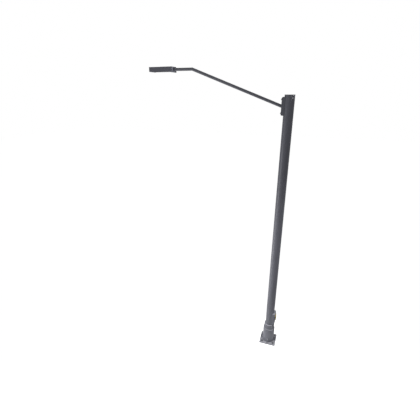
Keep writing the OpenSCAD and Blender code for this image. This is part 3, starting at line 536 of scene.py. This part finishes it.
def weld_tree():
    """A curve becomes a row of overlapping beads, each a little larger or smaller, as a hand weld leaves."""
    tree = bpy.data.node_groups.new("Weld beads", "GeometryNodeTree")
    face = tree.interface
    face.new_socket(name="Path", in_out="INPUT", socket_type="NodeSocketGeometry")
    for label, default in (("Pitch", 0.004), ("Width", 0.007)):
        face.new_socket(name=label, in_out="INPUT", socket_type="NodeSocketFloat").default_value = default
    face.new_socket(name="Material", in_out="INPUT", socket_type="NodeSocketMaterial")
    face.new_socket(name="Mesh", in_out="OUTPUT", socket_type="NodeSocketGeometry")
    new = tree.nodes.new
    given, result = new("NodeGroupInput"), new("NodeGroupOutput")
    even = new("GeometryNodeResampleCurve")
    even.mode = "LENGTH"
    bead = new("GeometryNodeMeshIcoSphere")
    bead.inputs["Subdivisions"].default_value = 2
    half = new("ShaderNodeMath")
    half.operation = "MULTIPLY"
    half.inputs[1].default_value = 0.5
    spread = new("GeometryNodeInstanceOnPoints")
    vary = new("FunctionNodeRandomValue")
    vary.inputs["Seed"].default_value = 7
    vary.inputs[2].default_value = 0.86
    vary.inputs[3].default_value = 1.06
    real = new("GeometryNodeRealizeInstances")
    paint_it = new("GeometryNodeSetMaterial")
    join = tree.links.new
    join(given.outputs["Path"], even.inputs["Curve"])
    join(given.outputs["Pitch"], even.inputs["Length"])
    join(given.outputs["Width"], half.inputs[0])
    join(half.outputs[0], bead.inputs["Radius"])
    join(even.outputs["Curve"], spread.inputs["Points"])
    join(bead.outputs["Mesh"], spread.inputs["Instance"])
    join(vary.outputs[1], spread.inputs["Scale"])
    join(spread.outputs["Instances"], real.inputs["Geometry"])
    join(real.outputs["Geometry"], paint_it.inputs["Geometry"])
    join(given.outputs["Material"], paint_it.inputs["Material"])
    join(paint_it.outputs["Geometry"], result.inputs["Mesh"])
    return tree


def set_input(modifier, name, value):
    """Sets a modifier's input through its socket's identifier."""
    for item in modifier.node_group.interface.items_tree:
        if item.item_type == "SOCKET" and item.in_out == "INPUT" and item.name == name:
            modifier[item.identifier] = value
            return
    raise RuntimeError(f"the node group has no input {name}")


def plain_mesh(obj, name):
    """Swaps an object with a Geometry Nodes modifier for its evaluated plain mesh."""
    graph = bpy.context.evaluated_depsgraph_get()
    mesh = bpy.data.meshes.new_from_object(obj.evaluated_get(graph), depsgraph=graph)
    mesh.name = name
    bpy.data.objects.remove(obj)
    return link(bpy.data.objects.new(name, mesh))


def run_beads(name, paths, body, width=None, pitch=None):
    """Welds along paths, each a list of points, with closed ones ending where they began."""
    detail = bpy.context.scene.lamp_detail
    curve = bpy.data.curves.new(name, "CURVE")
    curve.dimensions = "3D"
    for points in paths:
        spline = curve.splines.new("POLY")
        spline.points.add(len(points) - 1)
        for point, at in zip(spline.points, points):
            point.co = (*at, 1.0)
    guide = link(bpy.data.objects.new(name + "_guide", curve))
    modifier = guide.modifiers.new("Weld beads", "NODES")
    modifier.node_group = bpy.data.node_groups.get("Weld beads") or weld_tree()
    set_input(modifier, "Pitch", pitch or detail.weld_pitch)
    set_input(modifier, "Width", width or detail.weld)
    set_input(modifier, "Material", MATERIALS["weld_bead"])
    obj = plain_mesh(guide, name)
    bpy.data.curves.remove(curve)
    for face in obj.data.polygons:
        face.use_smooth = True
    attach(obj, body)
    return obj


def ring_path(radius, z, steps=72, start=0.0, sweep=math.tau, centre=(0.0, 0.0)):
    return [
        (
            centre[0] + radius * math.cos(start + sweep * i / steps),
            centre[1] + radius * math.sin(start + sweep * i / steps),
            z,
        )
        for i in range(steps + 1)
    ]


def pole_arc(facing, radius, side, z, steps=16):
    """An arc round the pole's front or back, from -side to side, at height z."""
    turns = [side * i / steps for i in range(-steps, steps + 1)]
    return [(facing * radius * math.cos(turn), radius * math.sin(turn), z) for turn in turns]


def swept(name, points, radius, slot, body, material=None, rings=10):
    """A round tube of one radius along a smooth line through points."""
    curve = bpy.data.curves.new(name, "CURVE")
    curve.dimensions = "3D"
    curve.bevel_depth = radius
    curve.bevel_resolution = 4
    curve.resolution_u = rings
    curve.use_fill_caps = True
    spline = curve.splines.new("NURBS")
    spline.points.add(len(points) - 1)
    for point, at in zip(spline.points, points):
        point.co = (*at, 1.0)
    spline.use_endpoint_u = True
    spline.order_u = 3
    obj = plain_mesh(link(bpy.data.objects.new(name + "_line", curve)), name)
    bpy.data.curves.remove(curve)
    for face in obj.data.polygons:
        face.use_smooth = True
    obj.data.materials.clear()
    obj.data.materials.append(MATERIALS[material or slot])
    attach(obj, body)
    return obj


def lathe(bm, profile, steps=32):
    """Turns a profile of (radius, height) points round Z into a closed shape."""
    verts = [bm.verts.new((radius, 0.0, height)) for radius, height in profile]
    edges = [bm.edges.new(pair) for pair in zip(verts, verts[1:])]
    bmesh.ops.spin(bm, geom=verts + edges, cent=(0, 0, 0), axis=(0, 0, 1), angle=math.tau, steps=steps)
    bmesh.ops.remove_doubles(bm, verts=bm.verts, dist=1e-6)
    bmesh.ops.recalc_face_normals(bm, faces=bm.faces)


def socket_screw(radius, head, shank_r, shank):
    """A button-head screw on +Z with a recess in its head. Its seat lies at height 0."""
    bm = bmesh.new()
    recess = radius * 0.42
    profile = [
        (0.0, -shank),
        (shank_r, -shank),
        (shank_r, 0.0),
        (radius, 0.0),
        (radius, head * 0.3),
        (radius * 0.86, head * 0.78),
        (radius * 0.62, head),
        (recess * 1.12, head),
        (recess, head * 0.9),
        (recess, head * 0.35),
        (0.0, head * 0.3),
    ]
    lathe(bm, profile, 24)
    return bm


def screw_tree():
    """Copies of one screw stand on points, each turned as its point says."""
    tree = bpy.data.node_groups.new("Screws on points", "GeometryNodeTree")
    face = tree.interface
    face.new_socket(name="Points", in_out="INPUT", socket_type="NodeSocketGeometry")
    face.new_socket(name="Screw", in_out="INPUT", socket_type="NodeSocketObject")
    face.new_socket(name="Size", in_out="INPUT", socket_type="NodeSocketFloat").default_value = 1.0
    face.new_socket(name="Material", in_out="INPUT", socket_type="NodeSocketMaterial")
    face.new_socket(name="Mesh", in_out="OUTPUT", socket_type="NodeSocketGeometry")
    new = tree.nodes.new
    given, result = new("NodeGroupInput"), new("NodeGroupOutput")
    shape, turn = new("GeometryNodeObjectInfo"), new("GeometryNodeInputNamedAttribute")
    spread = new("GeometryNodeInstanceOnPoints")
    turn.data_type = "FLOAT_VECTOR"
    turn.inputs["Name"].default_value = "turn"
    real, coat = new("GeometryNodeRealizeInstances"), new("GeometryNodeSetMaterial")
    join = tree.links.new
    join(given.outputs["Points"], spread.inputs["Points"])
    join(given.outputs["Screw"], shape.inputs["Object"])
    join(shape.outputs["Geometry"], spread.inputs["Instance"])
    join(turn.outputs[0], spread.inputs["Rotation"])
    join(given.outputs["Size"], spread.inputs["Scale"])
    join(spread.outputs["Instances"], real.inputs["Geometry"])
    join(real.outputs["Geometry"], coat.inputs["Geometry"])
    join(given.outputs["Material"], coat.inputs["Material"])
    join(coat.outputs["Geometry"], result.inputs["Mesh"])
    return tree


def screws(name, places, radius, head, shank_r, shank, slot, body, *nodes):
    """Screws at places, each (point, outward direction), which stand for CAD nodes."""
    template_mesh = bpy.data.meshes.new(name + "_one")
    bm = socket_screw(radius, head, shank_r, shank)
    bm.to_mesh(template_mesh)
    bm.free()
    template = link(bpy.data.objects.new(name + "_one", template_mesh))
    mesh = bpy.data.meshes.new(name + "_places")
    mesh.from_pydata([tuple(at) for at, _ in places], [], [])
    turns = mesh.attributes.new("turn", "FLOAT_VECTOR", "POINT")
    for item, (_, out) in zip(turns.data, places):
        item.vector = Vector(out).to_track_quat("Z", "Y").to_euler()
    guide = link(bpy.data.objects.new(name + "_guide", mesh))
    modifier = guide.modifiers.new("Screws", "NODES")
    modifier.node_group = bpy.data.node_groups.get("Screws on points") or screw_tree()
    set_input(modifier, "Screw", template)
    set_input(modifier, "Size", 1.0)
    set_input(modifier, "Material", MATERIALS[slot])
    obj = plain_mesh(guide, name)
    bpy.data.objects.remove(template)
    shade(obj.data)
    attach(obj, body)
    if nodes:
        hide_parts(*nodes)
    return obj


def solids_of(node):
    """The points of each separate solid of a CAD node."""
    bm = bmesh.new()
    bm.from_mesh(frame["nodes"][node].data)
    bmesh.ops.remove_doubles(bm, verts=bm.verts, dist=1e-6)
    left = set(bm.verts)
    groups = []
    while left:
        queue = [left.pop()]
        group = []
        while queue:
            vert = queue.pop()
            group.append(vert.co.copy())
            for edge in vert.link_edges:
                other = edge.other_vert(vert)
                if other in left:
                    left.remove(other)
                    queue.append(other)
        groups.append(group)
    bm.free()
    return groups


def girth(points, middle, axis, level):
    """How far the points at one level along an axis reach from the middle."""
    around = [p - middle for p in points if abs(p[axis] - level) < 0.1 * MM]
    return max(math.hypot(*(v[i] for i in range(3) if i != axis)) for v in around)


def screw_places(node, axis, head):
    """Seat and outward direction of each screw of a node. It lies along an axis, its head at the wide end."""
    places = []
    for points in solids_of(node):
        low = [min(p[i] for p in points) for i in range(3)]
        high = [max(p[i] for p in points) for i in range(3)]
        middle = Vector([(a + b) / 2 for a, b in zip(low, high)])
        head_up = girth(points, middle, axis, high[axis]) > girth(points, middle, axis, low[axis])
        sign = 1.0 if head_up else -1.0
        out = Vector((0.0, 0.0, 0.0))
        out[axis] = sign
        middle[axis] = (high if head_up else low)[axis] - sign * head
        places.append((middle, out))
    return sorted(places, key=lambda place: [round(v, 4) for v in place[0]])


# ---- Operators ----------------------------------------------------------------------


class LAMP_OT_base(bpy.types.Operator):
    """Rounded base plate, gussets, stepped shoe and their welds"""

    bl_idname = "lamp.base"
    bl_label = "Base"

    def execute(self, context):
        edge = context.scene.lamp_detail.edge
        rounded("base_plate", "plate_rounded", edge * 1.3, 3)
        rounded("base_gussets", "gussets_rounded", edge)
        rounded("base_sleeve", "sleeve_rounded", edge * 2.0, 3)
        rounded("base_collar", "collar_rounded", edge * 2.0, 3)
        rounded("anchor_nuts", "nuts_rounded", 0.9 * MM)
        rounded("anchor_washers", "washers_rounded", 0.6 * MM)
        plate_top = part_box("base_plate")[1].z
        sleeve_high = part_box("base_sleeve")[1]
        collar_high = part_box("base_collar")[1]
        pole_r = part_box("pole_tube")[1].x
        inset = context.scene.lamp_detail.weld * 0.15
        gusset_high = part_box("base_gussets")[1]
        half_t = 8.0 * MM
        behind = 0.2 * MM
        paths = [
            ring_path(sleeve_high.x + inset, plate_top + inset),
            ring_path(collar_high.x + inset, sleeve_high.z + inset),
            ring_path(pole_r + inset, collar_high.z + inset),
        ]
        for quarter in range(4):
            turn = Matrix.Rotation(quarter * math.pi / 2, 3, "Z")
            for side in (-1, 1):
                y = side * (half_t + inset)
                near = sleeve_high.x
                foot = [(near, y, plate_top + inset), (gusset_high.x, y, plate_top + inset)]
                rise = [(near - behind, y, plate_top), (near - behind, y, gusset_high.z)]
                paths.append([tuple(turn @ Vector(p)) for p in foot])
                paths.append([tuple(turn @ Vector(p)) for p in rise])
        run_beads("base_welds", paths, "post")
        return {"FINISHED"}


class LAMP_OT_pole(bpy.types.Operator):
    """Pole tube with its seam, its cap and the cap's screws"""

    bl_idname = "lamp.pole"
    bl_label = "Pole"

    def execute(self, context):
        rounded("pole_tube", "pole_rounded", 0.8 * MM)
        rounded("pole_cap", "cap_rounded", 1.6 * MM, 3)
        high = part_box("pole_tube")[1]
        screw_low, screw_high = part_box("pole_cap_screws")
        height = (screw_low.z + screw_high.z) / 2
        places = []
        for degrees in (60, 180, 300):
            out = Vector((math.cos(math.radians(degrees)), math.sin(math.radians(degrees)), 0.0))
            places.append((out * (high.x + 0.4 * MM) + Vector((0.0, 0.0, height)), out))
        sizes = (4.8 * MM, 2.4 * MM, 2.9 * MM, 9.0 * MM)
        screws("cap_screws", places, *sizes, "zinc_steel", "post", "pole_cap_screws")
        collar_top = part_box("base_collar")[1].z
        seam = [(0.0, high.y - 0.35 * MM, collar_top + 6 * MM), (0.0, high.y - 0.35 * MM, high.z - 4 * MM)]
        run_beads("pole_seam", [seam], "post", 2.4 * MM, 6.0 * MM)
        return {"FINISHED"}


class LAMP_OT_hand_hole(bpy.types.Operator):
    """Hand-hole frame with its welds, door and lock"""

    bl_idname = "lamp.hand_hole"
    bl_label = "Hand hole"

    def execute(self, context):
        edge = context.scene.lamp_detail.edge
        rounded("handhole_frame", "frame_rounded", edge)
        rounded("handhole_door", "door_rounded", edge)
        rounded("lock_housing", "lock_housing_rounded", edge * 1.6, 3)
        rounded("lock_cam", "cam_rounded", 0.5 * MM)
        rounded("lock_spindle", "spindle_rounded", 0.4 * MM)
        low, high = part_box("handhole_frame")
        gasket_low, gasket_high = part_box("handhole_gasket")
        half = (gasket_high.y - gasket_low.y) / 2 + 1.5 * MM
        pole_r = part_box("pole_tube")[1].x
        side = math.asin(half / pole_r)
        out = 0.6 * MM
        paths = [pole_arc(1.0, pole_r + out, side, z) for z in (low.z - out, high.z + out)]
        for sign in (-1, 1):
            foot = (pole_r * math.cos(side), sign * (half + out))
            paths.append([(*foot, low.z), (*foot, high.z)])
        run_beads("frame_welds", paths, "post")
        return {"FINISHED"}


class LAMP_OT_arm(bpy.types.Operator):
    """Arm bracket, bolts, bent tube and welds"""

    bl_idname = "lamp.arm"
    bl_label = "Arm"

    def execute(self, context):
        edge = context.scene.lamp_detail.edge
        rounded("arm_saddle", "saddle_rounded", edge)
        rounded("arm_flange", "flange_rounded", edge * 1.3, 3)
        rounded("arm_bolts", "arm_bolts_rounded", 0.7 * MM)
        rounded("arm_washers", "arm_washers_rounded", 0.4 * MM)
        rounded("arm_tube", "arm_tube_rounded", 0.6 * MM)
        low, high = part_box("arm_saddle")
        pole_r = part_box("pole_tube")[1].x
        half = high.y
        out = 0.6 * MM
        side = math.asin(half / pole_r)
        paths = []
        for sign in (-1, 1):
            foot = (-pole_r * math.cos(side), sign * (half + out))
            paths.append([(*foot, low.z), (*foot, high.z)])
        for z in (low.z - out, high.z + out):
            paths.append(pole_arc(-1.0, pole_r + out, side, z))
        run_beads("arm_welds", [*paths, self.root_ring()], "post")
        return {"FINISHED"}

    def root_ring(self):
        """Where the sloping tube meets the flange's flat face."""
        flange_low, flange_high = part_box("arm_flange")
        tube_r = (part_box("arm_tube")[1].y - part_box("arm_tube")[0].y) / 2 + 0.6 * MM
        centre = (flange_low.z + flange_high.z) / 2
        slope = 1.0 / math.cos(ARM_SLOPE)
        steps = 48
        turns = [math.tau * i / steps for i in range(steps + 1)]
        x = flange_low.x - 0.5 * MM
        return [(x, tube_r * math.sin(turn), centre + tube_r * slope * math.cos(turn)) for turn in turns]


class LAMP_OT_luminaire(bpy.types.Operator):
    """Luminaire castings, screws, driver leads and the tray door"""

    bl_idname = "lamp.luminaire"
    bl_label = "Luminaire"

    def execute(self, context):
        edge = context.scene.lamp_detail.edge
        rounded("luminaire_body", "body_rounded", edge * 0.6)
        rounded("luminaire_end_cap", "end_cap_rounded", edge * 2.0, 3)
        rounded("luminaire_rear_plate", "rear_plate_rounded", edge * 1.2)
        rounded("lens_frame", "lens_frame_rounded", 0.5 * MM)
        rounded("driver_door", "driver_door_rounded", 0.5 * MM)
        rounded("led_driver", "driver_rounded", 1.0 * MM)
        rounded("slipfitter_saddle", "slipfitter_saddle_rounded", 0.8 * MM)
        rounded("slipfitter_strap", "slipfitter_strap_rounded", 0.6 * MM)
        self.casting_screws()
        self.leads()
        return {"FINISHED"}

    def casting_screws(self):
        for name, node, axis, radius, head, shank_r, shank in (
            ("casting_screws", "end_screws", 0, 5.0, 3.0, 2.5, 12.0),
            ("lens_screw_set", "lens_screws", 2, 4.0, 2.5, 2.0, 12.0),
            ("driver_screw_set", "driver_screws", 2, 4.5, 3.0, 2.2, 2.5),
        ):
            places = screw_places(node, axis, head * MM)
            sizes = (radius * MM, head * MM, shank_r * MM, shank * MM)
            screws(name, places, *sizes, "zinc_steel", "luminaire", node)

    def leads(self):
        """Two leads from the terminal block, over the driver's end and down into it."""
        block_low, block_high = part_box("luminaire_terminal_block")
        driver_low, driver_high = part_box("led_driver")
        start_x = block_low.x + 14 * MM
        end_x = driver_low.x + 34 * MM
        over = driver_high.z + 7 * MM
        for index, (finish, y) in enumerate((("wire_brown", -12.0 * MM), ("wire_blue", 12.0 * MM))):
            points = [
                (start_x, y, block_high.z),
                (start_x, y, block_high.z + 10 * MM),
                (start_x - 5 * MM, y * 1.4, over),
                (end_x + 6 * MM, y * 2.0, over),
                (end_x, y * 2.2, over - 2 * MM),
                (end_x, y * 2.2, driver_high.z - 1 * MM),
            ]
            swept(f"driver_lead_{index + 1}", points, 1.3 * MM, "cable_sheath", "luminaire", finish)


class LAMP_OT_wiring(bpy.types.Operator):
    """Riser cable up the pole and arm, and the equipment behind the hand hole"""

    bl_idname = "lamp.wiring"
    bl_label = "Wiring"

    def execute(self, context):
        rounded("fuse_box_base", "fuse_box_rounded", 1.0 * MM)
        rounded("fuse_box_cover", "fuse_cover_rounded", 2.0 * MM, 3)
        rounded("equipment_rail", "rail_rounded", 0.6 * MM)
        rounded("cable_glands", "glands_rounded", 0.6 * MM)
        rounded("earth_bolt", "earth_bolt_rounded", 0.5 * MM)
        self.riser()
        self.box_screws()
        return {"FINISHED"}

    def riser(self):
        """One cable from the glands up the pole, through the arm's bracket and out to the splice."""
        gland_low, gland_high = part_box("cable_glands")
        grommet_low, grommet_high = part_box("arm_grommet")
        splice_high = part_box("cable_splice")[1]
        lead_low, lead_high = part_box("luminaire_lead")
        flange_low, flange_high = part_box("arm_flange")
        x = (gland_low.x + gland_high.x) / 2
        hole_z = (grommet_low.z + grommet_high.z) / 2
        level = (lead_low.z + lead_high.z) / 2
        root_z = (flange_low.z + flange_high.z) / 2
        bend_x = flange_low.x - ARM_RUN
        slope = math.tan(ARM_SLOPE)
        first = flange_low.x - 60 * MM
        points = [(x, 0.0, gland_high.z - 20 * MM)]
        for share in (0.1, 0.3, 0.5, 0.7, 0.9):
            points.append((x, 0.0, gland_high.z + (hole_z - 0.16 - gland_high.z) * share))
        points += [
            (x, 0.0, hole_z - 0.12),
            (x - 6 * MM, 0.0, hole_z - 0.05),
            (grommet_high.x + 8 * MM, 0.0, hole_z - 4 * MM),
            (grommet_high.x, 0.0, hole_z),
            (grommet_low.x, 0.0, hole_z),
            (first, 0.0, root_z + 60 * MM * slope),
        ]
        for share in (0.25, 0.5, 0.75, 0.96):
            points.append((flange_low.x - ARM_RUN * share, 0.0, root_z + ARM_RUN * share * slope))
        points += [
            (bend_x, 0.0, level - 2 * MM),
            (bend_x - 60 * MM, 0.0, level),
            (bend_x - 0.25, 0.0, level),
            (splice_high.x - 12 * MM, 0.0, level),
        ]
        cable = swept("riser_cable_smooth", points, 6.0 * MM, "cable_sheath", "post", None, 8)
        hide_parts("riser_cable")

    def box_screws(self):
        low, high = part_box("fuse_box_screws")
        head = 4.5 * MM
        places = [
            ((high.x - 3.0 * MM, y, z), (1.0, 0.0, 0.0))
            for y in (low.y + head, high.y - head)
            for z in (low.z + head, high.z - head)
        ]
        sizes = (head, 3.0 * MM, 2.3 * MM, 50.0 * MM)
        screws("cover_screws", places, *sizes, "zinc_steel", "post", "fuse_box_screws")


class LAMP_OT_stage(bpy.types.Operator):
    """Pale studio floor, soft lights and the camera"""

    bl_idname = "lamp.stage"
    bl_label = "Stage"

    def execute(self, context):
        stage = context.scene.lamp_stage
        scene = context.scene
        bm = bmesh.new()
        for x, y in ((-1, -1), (1, -1), (1, 1), (-1, 1)):
            bm.verts.new((x * FLOOR_HALF, y * FLOOR_HALF, cad_low.z - 0.5 * MM))
        bm.faces.new(bm.verts)
        mesh = bpy.data.meshes.new("studio_floor")
        bm.to_mesh(mesh)
        bm.free()
        floor = link(bpy.data.objects.new("studio_floor", mesh))
        made, tree, shader = new_material("Studio floor")
        shader.inputs["Base Color"].default_value = (*stage.floor, 1.0)
        shader.inputs["Roughness"].default_value = 0.9
        shader.inputs["Specular IOR Level"].default_value = 0.1
        shader.inputs["Emission Color"].default_value = (1.0, 1.0, 1.0, 1.0)
        seen = tree.nodes.new("ShaderNodeLightPath")
        glow = maths(tree, "MULTIPLY", seen.outputs["Is Camera Ray"], stage.glow)
        wire(tree, glow, shader.inputs["Emission Strength"])
        mesh.materials.append(made)
        self.surround(scene, stage.sky)
        self.soft_box("Key light", (-6.0, -3.0, 2.2), (0.0, 0.0, 2.2), 3.0, stage.key)
        self.soft_box("Low light", (-3.2, -0.5, 0.9), (0.0, 0.0, 0.3), 1.4, stage.low)
        self.soft_box("Right light", (5.5, 1.5, 3.5), (0.0, 0.0, 3.0), 3.0, stage.right)
        self.soft_box("Near right light", (2.4, -0.5, 0.7), (0.0, 0.0, 0.3), 1.2, stage.near)
        self.soft_box("Front light", (1.5, -4.5, 1.0), (0.0, 0.0, 0.5), 1.6, stage.front)
        self.spot("Left base light", (-0.6, -0.5, 5.6), (0.0, 0.0, 0.0), 20.0, stage.spot)
        self.spot("Right base light", (0.6, -0.4, 5.6), (0.0, 0.0, 0.0), 20.0, stage.spot)
        self.spot("Head spot", (3.0, -0.6, 6.2), (-2.5, 0.0, 6.62), 7.0, stage.head)
        self.spot("Door spot", (2.0, -2.5, 1.5), (0.13, 0.0, 0.76), 9.0, stage.door)
        lens = bpy.data.cameras.new("Camera")
        lens.lens = CAMERA_LENS
        lens.sensor_width = 36.0
        lens.clip_end = 200.0
        camera = link(bpy.data.objects.new("Camera", lens))
        camera.location = CAMERA_AT
        camera.rotation_euler = CAMERA_TURN
        scene.camera = camera
        scene.view_settings.view_transform = "Standard"
        return {"FINISHED"}

    def surround(self, scene, strength):
        """A white backdrop all round, which lights the object by strength."""
        world = bpy.data.worlds.new("Studio surround")
        world.use_nodes = True
        tree = world.node_tree
        light = tree.nodes["Background"]
        light.inputs["Color"].default_value = (1.0, 1.0, 1.0, 1.0)
        light.inputs["Strength"].default_value = strength
        backdrop = tree.nodes.new("ShaderNodeBackground")
        backdrop.inputs["Color"].default_value = (1.0, 1.0, 1.0, 1.0)
        path = tree.nodes.new("ShaderNodeLightPath")
        mix = tree.nodes.new("ShaderNodeMixShader")
        wire(tree, path.outputs["Is Camera Ray"], mix.inputs["Fac"])
        wire(tree, light.outputs["Background"], mix.inputs[1])
        wire(tree, backdrop.outputs["Background"], mix.inputs[2])
        wire(tree, mix.outputs["Shader"], tree.nodes["World Output"].inputs["Surface"])
        scene.world = world

    def spot(self, name, at, towards, degrees, power):
        """A narrow soft spot, which brightens one end of the post."""
        light = bpy.data.lights.new(name, "SPOT")
        light.energy = power
        light.shadow_soft_size = 0.35
        light.spot_size = math.radians(degrees)
        light.spot_blend = 1.0
        obj = link(bpy.data.objects.new(name, light))
        obj.location = at
        aim = Vector(towards) - Vector(at)
        obj.rotation_euler = aim.to_track_quat("-Z", "Y").to_euler()
        obj.visible_camera = False

    def soft_box(self, name, at, towards, size, power):
        """A square area light, which the camera doesn't see."""
        light = bpy.data.lights.new(name, "AREA")
        light.shape = "SQUARE"
        light.size = size
        light.energy = power
        obj = link(bpy.data.objects.new(name, light))
        obj.location = at
        aim = Vector(towards) - Vector(at)
        obj.rotation_euler = aim.to_track_quat("-Z", "Y").to_euler()
        obj.visible_camera = False


class LAMP_PT_panel(bpy.types.Panel):
    bl_label = "Lamp post"
    bl_idname = "LAMP_PT_panel"
    bl_space_type = "VIEW_3D"
    bl_region_type = "UI"
    bl_category = "Lamp post"

    def draw(self, context):
        layout = self.layout
        for group in (context.scene.lamp_paint, context.scene.lamp_detail, context.scene.lamp_stage):
            column = layout.box().column()
            for name in group.__annotations__:
                column.prop(group, name)
        for step in STEPS:
            layout.operator(step.bl_idname)


SETTINGS = (LampPaintSettings, LampDetailSettings, LampStageSettings)
STEPS = (
    LAMP_OT_base,
    LAMP_OT_pole,
    LAMP_OT_hand_hole,
    LAMP_OT_arm,
    LAMP_OT_luminaire,
    LAMP_OT_wiring,
    LAMP_OT_stage,
)


def register():
    for cls in (*SETTINGS, *STEPS, LAMP_PT_panel):
        bpy.utils.register_class(cls)
    bpy.types.Scene.lamp_paint = bpy.props.PointerProperty(type=LampPaintSettings)
    bpy.types.Scene.lamp_detail = bpy.props.PointerProperty(type=LampDetailSettings)
    bpy.types.Scene.lamp_stage = bpy.props.PointerProperty(type=LampStageSettings)


def unregister():
    for name in ("lamp_paint", "lamp_detail", "lamp_stage"):
        delattr(bpy.types.Scene, name)
    for cls in reversed((*SETTINGS, *STEPS, LAMP_PT_panel)):
        bpy.utils.unregister_class(cls)


def main():
    register()
    make_materials()
    finish_nodes()
    bpy.ops.lamp.base()
    bpy.ops.lamp.pole()
    bpy.ops.lamp.hand_hole()
    bpy.ops.lamp.arm()
    bpy.ops.lamp.luminaire()
    bpy.ops.lamp.wiring()
    bpy.ops.lamp.stage()


if __name__ == "__main__":
    main()
